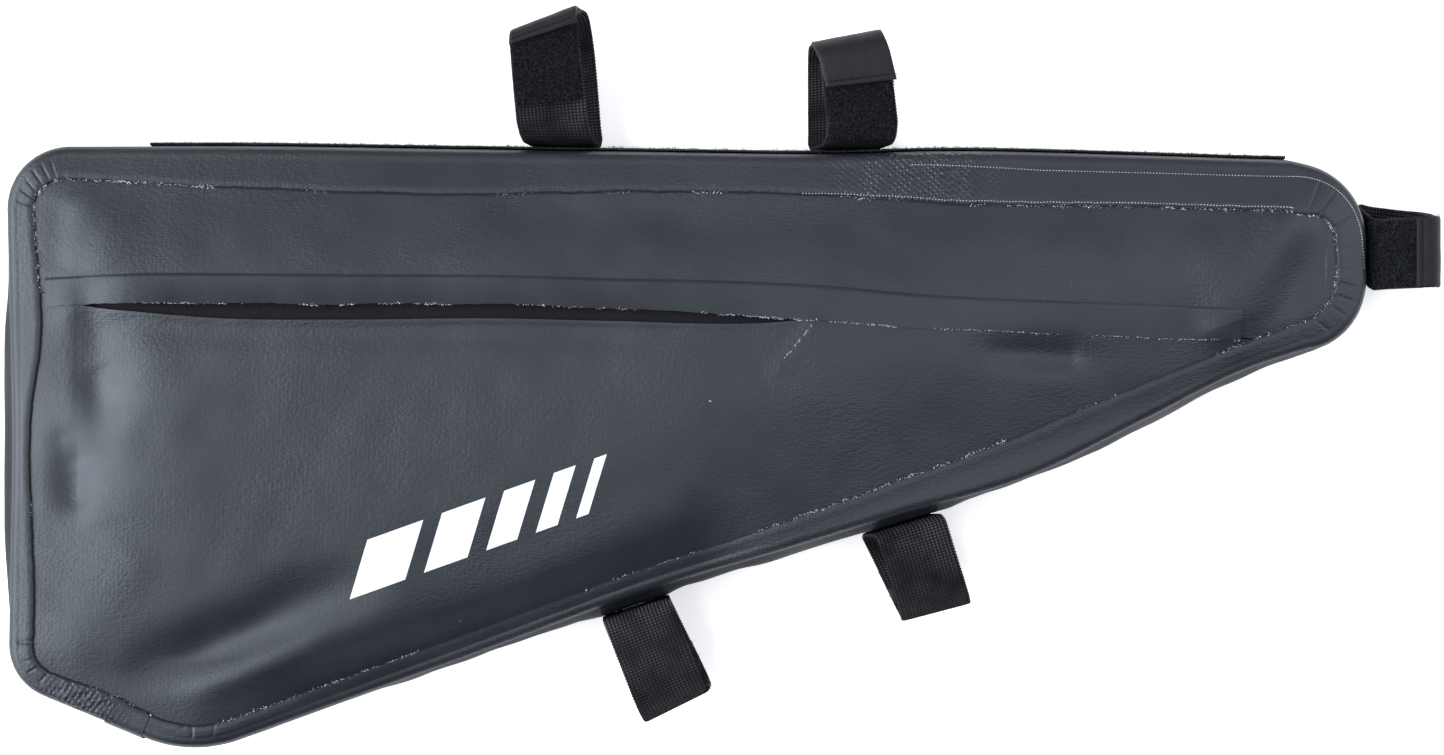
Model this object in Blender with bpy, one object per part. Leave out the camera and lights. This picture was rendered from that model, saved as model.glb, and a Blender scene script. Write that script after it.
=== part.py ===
"""Bicycle frame bag with a flapped zip and five hook and loop straps, lying on its back.

+X runs along the bag to its nose, +Y across to the straight top edge, and +Z up from
the surface that the bag lies on. The origin is under the middle of the whole thing.
"""

import math
from collections import namedtuple

import bmesh
import bpy
import numpy as np

# Bag size
BAG_LENGTH = 0.4868
BAG_DEPTH = 0.217
BAG_THICKNESS = 0.047
PANEL_RISE = 0.006
PANEL_RAMP = 0.050

# Cloth, webbing and the clearances between layers
CLOTH = 0.0012
WEBBING = 0.0016
PILE = 0.0013
TAB = 0.0018
LAYER_GAP = 0.0004
EDGE_GAP = 0.0003

# Gusset and the borders turned over on to the panels
BORDER_WIDTH = 0.020
BACK_BORDER_WIDTH = 0.012
GUSSET_BULGE = 0.004
SHOULDER_RADIUS = 0.003
PANEL_TUCK = 0.0035
STATION_SPACING = 0.022

# Zip
TAPE_TUCK = 0.0026
FLAP_LIFT = 0.0020

# Webbing strip and straps
ANCHOR_STRIP_WIDTH = 0.020
STRAP_WIDTH = 0.0253
STRAP_FRONT_HEIGHT = 0.041
STRAP_BACK_HEIGHT = 0.008
STRAP_NEAR_BEND = 0.007
STRAP_FAR_BEND = 0.012
STRAP_SEAT_GAP = 0.0005
STRAP_BEND_STEPS = 5

# Corners of the gusset's outline at its widest, clockwise from the top left.
# along is a share of BAG_LENGTH, down and radius are shares of BAG_DEPTH.
Corner = namedtuple("Corner", "name along down radius steps")
CORNERS = [
    Corner("top_left", 0.000, 0.005, 0.106, 6),
    Corner("top_nose", 1.000, 0.031, 0.132, 6),
    Corner("low_nose", 1.000, 0.316, 0.141, 6),
    Corner("tip", 0.137, 1.016, 0.215, 5),
    Corner("low_left", 0.000, 0.889, 0.099, 5),
]

# Sections round the outline. lap counts sides from the top left corner: 0 top, 1 nose,
# 2 slope, 3 heel, 4 rear, plus the share along that side. bow is outwards, a share of
# BAG_DEPTH; bulge is how far the wall stands out past the rim, a share of GUSSET_BULGE;
# border is the turned-over width on the front, a share of BORDER_WIDTH.
Section = namedtuple("Section", "lap bow bulge border")
SECTIONS = [
    Section(0.05, 0.000, 0.35, 0.62),
    Section(0.18, 0.003, 0.35, 0.78),
    Section(0.32, 0.002, 0.35, 0.84),
    Section(0.48, 0.001, 0.35, 0.73),
    Section(0.60, 0.001, 0.35, 0.76),
    Section(0.69, 0.008, 0.35, 0.96),
    Section(0.83, 0.005, 0.35, 0.95),
    Section(0.92, 0.001, 0.35, 0.94),
    Section(1.00, 0.000, 0.35, 0.98),
    Section(1.12, 0.000, 0.35, 0.92),
    Section(1.32, 0.000, 0.35, 0.70),
    Section(1.55, 0.000, 0.35, 0.62),
    Section(2.03, 0.000, 0.50, 0.62),
    Section(2.10, 0.000, 0.80, 0.62),
    Section(2.19, 0.023, 0.90, 0.80),
    Section(2.30, 0.041, 0.60, 0.87),
    Section(2.40, 0.031, 0.80, 0.74),
    Section(2.50, 0.024, 1.00, 0.67),
    Section(2.60, 0.013, 1.00, 0.59),
    Section(2.78, 0.008, 0.70, 0.53),
    Section(2.94, 0.000, 0.35, 0.45),
    Section(3.30, 0.000, 0.35, 0.50),
    Section(3.52, 0.000, 0.35, 0.56),
    Section(3.80, 0.000, 0.35, 0.50),
    Section(4.20, 0.000, 0.35, 0.56),
    Section(4.48, 0.000, 0.35, 0.50),
    Section(4.66, 0.000, 0.35, 0.70),
    Section(4.88, 0.000, 0.35, 0.56),
]

# Lines of the zip across the front. along is a share of BAG_LENGTH, the others are
# shares of BAG_DEPTH down from the top: the flap's welded edge, the edge of the panel
# above the zip, the flap's free edge, the edge of the panel below the zip, and how far
# the free edge stands up, of FLAP_LIFT.
ZipLine = namedtuple("ZipLine", "along flap_top above flap_low below lift")
ZIP_LINES = [
    ZipLine(0.000, 0.2280, 0.250, 0.2740, 0.271, 0.0),
    ZipLine(0.060, 0.2210, 0.245, 0.2680, 0.266, 0.1),
    ZipLine(0.100, 0.2170, 0.241, 0.2640, 0.276, 0.8),
    ZipLine(0.163, 0.2169, 0.241, 0.2616, 0.286, 1.0),
    ZipLine(0.246, 0.2185, 0.243, 0.2649, 0.288, 1.0),
    ZipLine(0.363, 0.2202, 0.245, 0.2682, 0.291, 0.9),
    ZipLine(0.442, 0.2250, 0.250, 0.2740, 0.295, 0.8),
    ZipLine(0.559, 0.2318, 0.262, 0.2890, 0.298, 0.3),
    ZipLine(0.600, 0.2370, 0.267, 0.2945, 0.291, 0.1),
    ZipLine(0.664, 0.2500, 0.277, 0.3055, 0.300, 0.0),
    ZipLine(0.780, 0.2632, 0.287, 0.3162, 0.311, 0.0),
    ZipLine(0.851, 0.2690, 0.297, 0.3230, 0.319, 0.0),
    ZipLine(0.905, 0.2745, 0.321, 0.3245, 0.324, 0.0),
    ZipLine(0.940, 0.2780, 0.331, 0.3330, 0.333, 0.0),
]
FLAP_START = 0.031
FLAP_END = 0.905
LOWER_PANEL_END = 0.940

# Dents and folds of the front panels. along is a share of BAG_LENGTH, all the other
# lengths are shares of BAG_DEPTH, turn is in degrees from +X, rise is up.
Fold = namedtuple("Fold", "name along down length width turn rise")
FOLDS = [
    Fold("rear_valley", 0.068, 0.36, 0.110, 0.034, 97, -0.012),
    Fold("rear_pocket", 0.050, 0.56, 0.060, 0.045, 80, -0.011),
    Fold("heel_valley", 0.160, 0.82, 0.190, 0.042, 25, -0.014),
    Fold("heel_ridge", 0.195, 0.86, 0.150, 0.035, 24, 0.008),
    Fold("slope_valley", 0.250, 0.88, 0.130, 0.028, 22, -0.010),
    Fold("nose_dent", 0.925, 0.225, 0.085, 0.050, 70, -0.018),
    Fold("nose_ridge", 0.885, 0.200, 0.090, 0.045, 80, 0.006),
    Fold("zip_hollow", 0.755, 0.350, 0.100, 0.028, -4, -0.007),
]
FOLD_FADE_START = 0.014
FOLD_FADE_LENGTH = 0.012

# Straps. A strap is a closing run with the pile on it, a run down the bag's wall, a
# plain run on the other face and the end that comes over to the pile. lap is the place
# on the outline and reach the loop's length out from the bag. near, plain and far are
# the sideways drift of the closing run at the bag, of the plain run and of the far end,
# and bow is how far the closing run curves sideways between. bend is the radius where
# the end comes over and tab the end's length past that: all of these are shares of
# STRAP_WIDTH. turn is the far end's slant in degrees, and face is 1 where the end
# closes on the front, -1 on the back. pile is how far the pile runs along the loop,
# counting the loop's bends from the closing run's free end.
Strap = namedtuple("Strap", "name lap reach near plain far bow bend tab turn face pile")
STRAPS = [
    Strap("strap_top_left", 0.4043, 1.86, 0.00, 0.10, -0.21, -0.07, 0.17, 0.05, 22, 1, 0.66),
    Strap("strap_top_right", 0.6275, 1.66, 0.00, -0.20, -0.15, 0.12, 0.30, 0.38, 9, 1, 0.96),
    Strap("strap_nose", 1.5400, 1.02, 0.00, -0.27, -0.04, 0.00, 0.24, 0.12, 0, 1, 1.00),
    Strap("strap_low_right", 2.3900, 1.37, 0.28, 0.10, 0.08, 0.00, 0.40, 0.30, -2, -1, 0.66),
    Strap("strap_low_left", 2.6280, 1.55, 0.00, -0.05, -0.19, 0.00, 0.40, 0.30, 8, -1, 0.66),
]

# Places along every strap's loop, counted in the same way: where the plain run has lost
# its drift, and where the smooth end starts.
PLAIN_RUN_END = 3.40
TAB_START = 3.55

# Rows of the gusset's wall from its front rim to its back rim. along is a share of the
# wall's height, and out is a share of the bulge.
WallRow = namedtuple("WallRow", "along out")
WALL_ROWS = [
    WallRow(0.00, 0.00),
    WallRow(0.12, 0.62),
    WallRow(0.26, 1.00),
    WallRow(0.74, 1.00),
    WallRow(0.88, 0.62),
    WallRow(1.00, 0.00),
]

# Laps that the gusset's joint and the webbing strip run between
GUSSET_JOINT_LAPS = (3.27, 3.47)
ANCHOR_STRIP_LAPS = (0.103, 0.943)

# Counts of points, along and across
PANEL_COLUMNS = 38
LOWER_PANEL_ROWS = 12
UPPER_PANEL_ROWS = 6
TAPE_ROWS = 3
FLAP_ROWS = 4
JOINT_STATIONS = 3
ANCHOR_STRIP_STATIONS = 27
SHOULDER_STEPS = 3
END_CROWDING = 0.75

FABRIC_COLOUR = (0.050, 0.057, 0.067)
WEBBING_COLOUR = (0.012, 0.012, 0.013)
TAPE_COLOUR = (0.006, 0.006, 0.007)

SIDES = len(CORNERS)
RIM_HEIGHT = BAG_THICKNESS - CLOTH - LAYER_GAP
FRONT_BORDER_HEIGHT = RIM_HEIGHT + LAYER_GAP + CLOTH / 2
WALL_TOP = FRONT_BORDER_HEIGHT - SHOULDER_RADIUS - EDGE_GAP
WALL_BOTTOM = CLOTH / 2 + SHOULDER_RADIUS + EDGE_GAP
STRIP_MIDDLE = (WALL_TOP + WALL_BOTTOM) / 2


def clear_scene():
    for obj in list(bpy.data.objects):
        bpy.data.objects.remove(obj, do_unlink=True)


def curve_through(xs, ys, x):
    """Smooth curve through the rows (xs, ys), read at x."""
    xs = np.asarray(xs, float)
    ys = np.asarray(ys, float)
    slopes = np.gradient(ys, xs)
    k = np.clip(np.searchsorted(xs, x) - 1, 0, len(xs) - 2)
    step = xs[k + 1] - xs[k]
    t = (x - xs[k]) / step
    ends = ys[k] * (1 + 2 * t) * (1 - t) ** 2 + ys[k + 1] * t * t * (3 - 2 * t)
    return ends + step * t * (1 - t) * (slopes[k] * (1 - t) - slopes[k + 1] * t)


def section_value(column, lap):
    """A column of SECTIONS at any lap, running on round the outline."""
    laps = [row.lap + turn * SIDES for turn in (-1, 0, 1) for row in SECTIONS]
    values = [getattr(row, column) for row in SECTIONS] * 3
    return curve_through(laps, values, np.asarray(lap, float))


def zip_line(column, x):
    """A line of the zip, as metres down from the top, at x metres from the rear."""
    values = [getattr(row, column) for row in ZIP_LINES]
    shares = curve_through([row.along for row in ZIP_LINES], values, np.asarray(x) / BAG_LENGTH)
    return shares * BAG_DEPTH


def corner_places():
    return [np.array([row.along * BAG_LENGTH, -row.down * BAG_DEPTH]) for row in CORNERS]


def right_of(direction):
    """The direction to the right, which is inwards on a clockwise outline."""
    return np.array([direction[1], -direction[0]])


def fillet(before, corner, after, radius, steps):
    """Round corner between two straight runs, as rows of (place, x, y).

    place is 0 at the corner, and counts the run before as -1 to 0 and the run after as
    0 to 1, so that a value kept for each corner can be read between them.
    """
    length_before = np.linalg.norm(corner - before)
    length_after = np.linalg.norm(after - corner)
    turn = math.acos(float((corner - before) @ (after - corner)) / (length_before * length_after))
    reach = radius * math.tan(turn / 2)
    start = corner + (before - corner) / length_before * reach
    end = corner + (after - corner) / length_after * reach
    centre = corner + ((start + end) / 2 - corner) / math.sin(turn / 2) ** 2
    rows = []
    for step in range(steps + 1):
        share = step / steps
        from_start = math.sin(turn * (1 - share)) / math.sin(turn)
        from_end = math.sin(turn * share) / math.sin(turn)
        spot = centre + (start - centre) * from_start + (end - centre) * from_end
        place = share * reach / length_after - (1 - share) * reach / length_before
        rows.append((place, *spot))
    return np.array(rows)


def corner_arc(k):
    """The round corner k of the outline, as rows of (lap, x, y)."""
    places = corner_places()
    corner = CORNERS[k]
    radius = corner.radius * BAG_DEPTH
    rows = fillet(places[k - 1], places[k], places[(k + 1) % SIDES], radius, corner.steps)
    return rows + [k, 0, 0]


def outline_rows():
    """The whole outline at the gusset's widest, before its sides bow."""
    arcs = [corner_arc(k) for k in range(SIDES)]
    rows = []
    for k in range(SIDES):
        end = arcs[k][-1]
        start = arcs[(k + 1) % SIDES][0]
        if k == SIDES - 1:
            start = start + [SIDES, 0, 0]
        pieces = max(1, round(math.dist(end[1:], start[1:]) / STATION_SPACING))
        rows += list(arcs[k])
        rows += [end + (start - end) * step / pieces for step in range(1, pieces)]
    return np.array(rows)


def outward_directions(places):
    along = np.roll(places, -1, axis=0) - np.roll(places, 1, axis=0)
    outwards = np.stack([-along[:, 1], along[:, 0]], axis=1)
    return outwards / np.linalg.norm(outwards, axis=1)[:, None]


def bowed_outline():
    """Laps, places and outward directions round the outline, with its sides bowed."""
    rows = outline_rows()
    laps = rows[:, 0]
    bow = section_value("bow", laps) * BAG_DEPTH
    places = rows[:, 1:] + outward_directions(rows[:, 1:]) * bow[:, None]
    return laps, places, outward_directions(places)


LAPS, OUTLINE, OUTWARDS = bowed_outline()
RIM_INSET = section_value("bulge", LAPS) * GUSSET_BULGE
BORDER_INSET = section_value("border", LAPS) * BORDER_WIDTH


def at_lap(lap):
    """Place and outward direction on the outline at a lap."""
    x = np.interp(lap, LAPS, OUTLINE[:, 0])
    y = np.interp(lap, LAPS, OUTLINE[:, 1])
    out = np.array([np.interp(lap, LAPS, OUTWARDS[:, 0]), np.interp(lap, LAPS, OUTWARDS[:, 1])])
    return np.array([x, y]), out / np.linalg.norm(out)


def edge_distance(points):
    """Soft distance in from the five sides, with no crease where two are as near."""
    places = corner_places()
    total = 0
    for k in range(SIDES):
        along = places[(k + 1) % SIDES] - places[k]
        inwards = right_of(along / np.linalg.norm(along))
        distance = np.maximum((points - places[k]) @ inwards, CLOTH)
        total = total + distance ** -3
    return total ** (-1 / 3)


def front_height(points):
    """Height of the front panels' outer face over each point, with its folds."""
    inside = edge_distance(points)
    ramp = np.clip((inside - PANEL_TUCK) / PANEL_RAMP, 0, 1)
    height = RIM_HEIGHT + PANEL_RISE * np.sin(ramp * math.pi / 2) ** 2
    fade = np.clip((inside - FOLD_FADE_START) / FOLD_FADE_LENGTH, 0, 1)
    for fold in FOLDS:
        middle = np.array([fold.along * BAG_LENGTH, -fold.down * BAG_DEPTH])
        offset = (points - middle) / BAG_DEPTH
        turn = math.radians(fold.turn)
        along = offset @ np.array([math.cos(turn), math.sin(turn)]) / fold.length
        across = offset @ np.array([-math.sin(turn), math.cos(turn)]) / fold.width
        height = height + fold.rise * BAG_DEPTH * fade * np.exp(-along ** 2 - across ** 2)
    return height


def add_object(name, mesh, colour, roughness):
    material = bpy.data.materials.new(name)
    material.use_nodes = True
    shader = material.node_tree.nodes["Principled BSDF"]
    shader.inputs["Base Color"].default_value = (*colour, 1)
    shader.inputs["Roughness"].default_value = roughness
    shader.inputs["Metallic"].default_value = 0
    mesh.materials.append(material)
    mesh.shade_smooth()
    mesh.set_sharp_from_angle(angle=math.radians(40))
    obj = bpy.data.objects.new(name, mesh)
    bpy.context.scene.collection.objects.link(obj)
    return obj


def finish_solid(name, bm, colour, roughness):
    """Turns the closed mesh's faces outwards and makes it an object."""
    bmesh.ops.recalc_face_normals(bm, faces=bm.faces)
    if bm.calc_volume(signed=True) < 0:
        bmesh.ops.reverse_faces(bm, faces=bm.faces)
    mesh = bpy.data.meshes.new(name)
    bm.to_mesh(mesh)
    bm.free()
    return add_object(name, mesh, colour, roughness)


def add_shell(name, outer, inner, colour, roughness, ring=False):
    """Closed solid between two grids of points, which a ring joins end to end."""
    count, width = outer.shape[:2]
    bm = bmesh.new()
    outside = [[bm.verts.new(point) for point in row] for row in outer]
    inside = [[bm.verts.new(point) for point in row] for row in inner]
    for i in range(count if ring else count - 1):
        n = (i + 1) % count
        for j in range(width - 1):
            bm.faces.new((outside[i][j], outside[n][j], outside[n][j + 1], outside[i][j + 1]))
            bm.faces.new((inside[i][j], inside[i][j + 1], inside[n][j + 1], inside[n][j]))
        for j in (0, width - 1):
            bm.faces.new((outside[i][j], outside[n][j], inside[n][j], inside[i][j]))
    if not ring:
        for i in (0, count - 1):
            for j in range(width - 1):
                bm.faces.new((outside[i][j], outside[i][j + 1], inside[i][j + 1], inside[i][j]))
    return finish_solid(name, bm, colour, roughness)


def section_faces(profile, thickness, stand_off=0.0):
    """Outer and inner face of a cloth whose middle follows profile, rows of (inset, height).

    The profile runs from the front's middle out to the rim and down, or from the rim in.
    """
    along = np.gradient(profile, axis=0)
    along /= np.linalg.norm(along, axis=1)[:, None]
    outside = np.stack([along[:, 1], -along[:, 0]], axis=1)
    middle = profile + outside * stand_off
    return middle + outside * thickness / 2, middle - outside * thickness / 2


def add_band(name, stations, profiles, thickness, colour, stand_off=0.0, ring=False):
    """Cloth band round the outline: one profile of (inset, height) rows for each station."""
    grids = ([], [])
    for (place, outwards), profile in zip(stations, profiles):
        for grid, face in zip(grids, section_faces(profile, thickness, stand_off)):
            flat = place - outwards * face[:, :1]
            grid.append(np.column_stack([flat, face[:, 1]]))
    outer, inner = (np.array(grid) for grid in grids)
    return add_shell(name, outer, inner, colour, 0.5, ring)


def all_stations():
    return list(zip(OUTLINE, OUTWARDS))


def shoulder(rim_inset, height, down):
    """Quarter round from a border's flat part to its rim, as (inset, height) rows."""
    rows = []
    for angle in np.linspace(0, math.pi / 2, SHOULDER_STEPS + 1):
        inset = rim_inset + SHOULDER_RADIUS * (1 - math.sin(angle))
        rows.append((inset, height - down * SHOULDER_RADIUS * (1 - math.cos(angle))))
    return rows


def front_border_profile(place, outwards, border_inset, rim_inset):
    rows = []
    round_start = rim_inset + SHOULDER_RADIUS
    for share in (1.0, 0.66, 0.33):
        inset = round_start + (border_inset - round_start) * share
        height = front_height(place - outwards * inset)
        rows.append((inset, height + LAYER_GAP + CLOTH / 2))
    return np.array(rows + shoulder(rim_inset, FRONT_BORDER_HEIGHT, 1))


def wall_profile(rim_inset):
    rows = []
    for row in WALL_ROWS:
        height = WALL_TOP + (WALL_BOTTOM - WALL_TOP) * row.along
        rows.append((rim_inset * (1 - row.out), height))
    return np.array(rows)


def add_gusset():
    profiles = [wall_profile(rim) for rim in RIM_INSET]
    add_band("gusset_wall", all_stations(), profiles, CLOTH, FABRIC_COLOUR, ring=True)


def add_front_border():
    profiles = []
    for place, outwards, border, rim in zip(OUTLINE, OUTWARDS, BORDER_INSET, RIM_INSET):
        profiles.append(front_border_profile(place, outwards, border, rim))
    add_band("front_border", all_stations(), profiles, CLOTH, FABRIC_COLOUR, ring=True)


def add_back_border():
    profiles = []
    for rim in RIM_INSET:
        flat = [(rim + BACK_BORDER_WIDTH, CLOTH / 2)]
        profiles.append(np.array(flat + shoulder(rim, CLOTH / 2, -1)))
    add_band("back_border", all_stations(), profiles, CLOTH, FABRIC_COLOUR, ring=True)


def add_gusset_joint():
    """The gusset strip's end, welded over its start across the heel."""
    laps = np.linspace(*GUSSET_JOINT_LAPS, JOINT_STATIONS)
    stations = [at_lap(lap) for lap in laps]
    profiles = []
    for lap, (place, outwards) in zip(laps, stations):
        rim = float(np.interp(lap, LAPS, RIM_INSET))
        border = float(np.interp(lap, LAPS, BORDER_INSET)) - CLOTH
        over = front_border_profile(place, outwards, border, rim)
        down = wall_profile(rim)[:-1]
        profiles.append(np.concatenate([over, down]))
    stand_off = CLOTH + LAYER_GAP
    add_band("gusset_joint", stations, profiles, CLOTH, FABRIC_COLOUR, stand_off)


def panel_outline():
    """The edge of a panel, tucked in behind the border."""
    inset = RIM_INSET + CLOTH / 2 + PANEL_TUCK
    return OUTLINE - OUTWARDS * inset[:, None]


def panel_span(x):
    """Lowest and highest y of the tucked panel edge at x."""
    edge = panel_outline()
    crossings = []
    for start, end in zip(edge, np.roll(edge, -1, axis=0)):
        if (start[0] - x) * (end[0] - x) <= 0 and start[0] != end[0]:
            share = (x - start[0]) / (end[0] - start[0])
            crossings.append(start[1] + (end[1] - start[1]) * share)
    return min(crossings), max(crossings)


def columns(start, end, count):
    """Places from start to end, crowded together at both ends."""
    share = np.linspace(0, 1, count)
    eased = share - END_CROWDING * np.sin(2 * math.pi * share) / (2 * math.pi)
    return start + (end - start) * eased


def cloth_grid(xs, lows, highs, rows):
    """Grid of points over the front, a column at each x from its low y to its high y."""
    grid = []
    for x, low, high in zip(xs, lows, highs):
        grid.append([(x, low + (high - low) * share) for share in np.linspace(0, 1, rows)])
    return np.array(grid)


def add_layer(name, grid, base, thickness, colour, roughness):
    """Cloth over the grid whose underside lies base above the panels' outer face."""
    height = front_height(grid) + base
    outer = np.concatenate([grid, (height + thickness)[..., None]], axis=2)
    inner = np.concatenate([grid, height[..., None]], axis=2)
    return add_shell(name, outer, inner, colour, roughness)


def panel_ends():
    edge = panel_outline()
    return edge[:, 0].min() + EDGE_GAP, edge[:, 0].max() - EDGE_GAP


def add_lower_panel():
    xs = columns(panel_ends()[0], LOWER_PANEL_END * BAG_LENGTH, PANEL_COLUMNS)
    lows = [panel_span(x)[0] for x in xs]
    highs = -zip_line("below", xs)
    grid = cloth_grid(xs, lows, highs, LOWER_PANEL_ROWS)
    add_layer("lower_panel", grid, -CLOTH, CLOTH, FABRIC_COLOUR, 0.45)


def add_upper_panel():
    xs = columns(*panel_ends(), PANEL_COLUMNS)
    spans = [panel_span(x) for x in xs]
    lows = [max(low, -drop) for (low, high), drop in zip(spans, zip_line("above", xs))]
    highs = [high for low, high in spans]
    grid = cloth_grid(xs, lows, highs, UPPER_PANEL_ROWS)
    add_layer("upper_panel", grid, -CLOTH, CLOTH, FABRIC_COLOUR, 0.45)


def add_zip_tape():
    """The zip's tape, welded behind the two panels and seen in the slot between them."""
    xs = columns(panel_ends()[0], LOWER_PANEL_END * BAG_LENGTH, PANEL_COLUMNS)
    lows = -zip_line("below", xs) - TAPE_TUCK
    highs = -zip_line("above", xs) + TAPE_TUCK
    grid = cloth_grid(xs, lows, highs, TAPE_ROWS)
    add_layer("zip_tape", grid, -2 * CLOTH - LAYER_GAP, CLOTH, TAPE_COLOUR, 0.6)


def add_zip_flap():
    """The band over the zip: welded along its upper edge, free along its lower one."""
    xs = columns(FLAP_START * BAG_LENGTH, FLAP_END * BAG_LENGTH, PANEL_COLUMNS)
    grid = cloth_grid(xs, -zip_line("flap_low", xs), -zip_line("flap_top", xs), FLAP_ROWS)
    lift = zip_line("lift", xs)[:, None] / BAG_DEPTH * FLAP_LIFT
    base = LAYER_GAP + lift * (1 - np.linspace(0, 1, FLAP_ROWS)) ** 2
    add_layer("zip_flap", grid, base, CLOTH, FABRIC_COLOUR, 0.45)


def add_back_panel():
    """Flat panel that lies on the turned-over back border."""
    base = CLOTH + LAYER_GAP
    bm = bmesh.new()
    face = bm.faces.new([bm.verts.new((x, y, base)) for x, y in panel_outline()])
    lifted = bmesh.ops.extrude_face_region(bm, geom=[face])["geom"]
    moved = [item for item in lifted if isinstance(item, bmesh.types.BMVert)]
    bmesh.ops.translate(bm, verts=moved, vec=(0, 0, CLOTH))
    finish_solid("back_panel", bm, FABRIC_COLOUR, 0.5)


def add_anchor_strip():
    """Webbing along the top of the gusset, which the two top straps are sewn to."""
    laps = np.linspace(*ANCHOR_STRIP_LAPS, ANCHOR_STRIP_STATIONS)
    half = ANCHOR_STRIP_WIDTH / 2
    profile = np.array([(0.0, STRIP_MIDDLE + half), (0.0, STRIP_MIDDLE - half)])
    stand_off = CLOTH / 2 + EDGE_GAP + WEBBING / 2
    stations = [at_lap(lap) for lap in laps]
    profiles = [profile] * len(laps)
    add_band("anchor_strip", stations, profiles, WEBBING, WEBBING_COLOUR, stand_off)


def rounded_path(points, radii):
    """Path through the points with round corners, as rows of (place, x, y).

    place counts points, so that a value kept for each point can be read between them.
    """
    rows = [[(0.0, *points[0])]]
    for k in range(1, len(points) - 1):
        bend = fillet(points[k - 1], points[k], points[k + 1], radii[k], STRAP_BEND_STEPS)
        rows.append(bend + [k, 0, 0])
    rows.append([(len(points) - 1.0, *points[-1])])
    return np.concatenate(rows)


def strap_seat(strap):
    """How far the strap's inner face lies out from the gusset's outline."""
    seat = CLOTH / 2 + STRAP_SEAT_GAP
    if strap.lap < 1:
        seat += EDGE_GAP + WEBBING
    return seat


def strap_loop(strap):
    """The strap's middle line as rows of (place, out, height, side, turn)."""
    reach = strap.reach * STRAP_WIDTH
    bend = strap.bend * STRAP_WIDTH
    rise = WEBBING / 2 + PILE + 2 * LAYER_GAP + TAB / 2
    seat = strap_seat(strap) + WEBBING / 2
    front = STRAP_FRONT_HEIGHT
    inner_end = reach - bend - LAYER_GAP
    tab_end = reach - bend - strap.tab * STRAP_WIDTH
    points = [
        (inner_end, front),
        (seat, front),
        (seat, STRAP_BACK_HEIGHT),
        (reach, STRAP_BACK_HEIGHT),
        (reach, front + rise),
        (tab_end, front + rise),
    ]
    radii = [0, STRAP_NEAR_BEND, STRAP_NEAR_BEND, STRAP_FAR_BEND, bend, 0]
    plain_drift = [strap.plain, strap.plain, (strap.plain + strap.far) / 2, strap.far]
    path = rounded_path(np.array(points), radii)
    share = np.clip((path[:, 1] - seat) / (reach - seat), 0, 1)
    closing = strap.near * (1 - share) + strap.far * share + 4 * strap.bow * share * (1 - share)
    plain = np.interp(path[:, 0], [1, 2, 3, 4], plain_drift)
    weight = np.interp(path[:, 0], [1, 2, PLAIN_RUN_END, 4], [0, 1, 1, 0])
    drift = (closing * (1 - weight) + plain * weight) * STRAP_WIDTH
    slant = np.radians(strap.turn * share)
    heights = path[:, 2]
    if strap.face < 0:
        heights = STRAP_FRONT_HEIGHT + STRAP_BACK_HEIGHT - heights
    return np.column_stack([path[:, 0], path[:, 1], heights, drift, slant])


def cut_loop(loop, start, end):
    """The part of a loop between two places along it."""
    inside = [row for row in loop if start < row[0] < end]
    ends = [[np.interp(place, loop[:, 0], column) for column in loop.T] for place in (start, end)]
    return np.array([ends[0], *inside, ends[1]])


def add_ribbon(name, strap, loop, width, thickness, stand_off, colour):
    """Flat ribbon along a loop, standing off from its middle line to the outside."""
    place, out = at_lap(strap.lap)
    out = np.array([*out, 0.0])
    side = np.array([*right_of(out[:2]), 0.0])
    middles = np.array([[*place, 0.0]]) + loop[:, 1:2] * out + loop[:, 3:4] * side
    middles[:, 2] = loop[:, 2]
    slant = loop[:, 4:5]
    across = side * np.cos(slant) + out * np.sin(slant)
    along = np.gradient(middles, axis=0)
    normals = np.cross(along, across) * strap.face
    normals /= np.linalg.norm(normals, axis=1)[:, None]
    grids = []
    for level in (stand_off + thickness / 2, stand_off - thickness / 2):
        face = middles + normals * level
        grids.append(np.stack([face - across * width / 2, face + across * width / 2], axis=1))
    return add_shell(name, grids[0], grids[1], colour, 0.8)


def add_strap(strap):
    """Webbing loop, its pile patch, and the smooth end that closes over the pile."""
    loop = strap_loop(strap)
    joint = EDGE_GAP / (STRAP_FRONT_HEIGHT - STRAP_BACK_HEIGHT)
    webbing = cut_loop(loop, 0, TAB_START)
    tab = cut_loop(loop, TAB_START + joint, 5)
    pile = cut_loop(loop, 0, strap.pile)
    over_webbing = WEBBING / 2 + LAYER_GAP + PILE / 2
    narrow = STRAP_WIDTH - WEBBING
    add_ribbon(strap.name + "_webbing", strap, webbing, STRAP_WIDTH, WEBBING, 0.0, WEBBING_COLOUR)
    add_ribbon(strap.name + "_tab", strap, tab, STRAP_WIDTH, TAB, 0.0, WEBBING_COLOUR)
    add_ribbon(strap.name + "_pile", strap, pile, narrow, PILE, over_webbing, WEBBING_COLOUR)


def centre_on_origin():
    """Moves everything so that the origin is under the middle of the whole box."""
    corners = [vertex.co for obj in bpy.data.objects for vertex in obj.data.vertices]
    points = np.array(corners)
    low = points.min(axis=0)
    high = points.max(axis=0)
    for obj in bpy.data.objects:
        obj.location = (-(low[0] + high[0]) / 2, -(low[1] + high[1]) / 2, -low[2])


clear_scene()
add_back_border()
add_back_panel()
add_gusset()
add_front_border()
add_gusset_joint()
add_lower_panel()
add_upper_panel()
add_zip_tape()
add_zip_flap()
add_anchor_strip()
for strap_row in STRAPS:
    add_strap(strap_row)
centre_on_origin()
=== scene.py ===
import math
from collections import namedtuple

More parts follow.
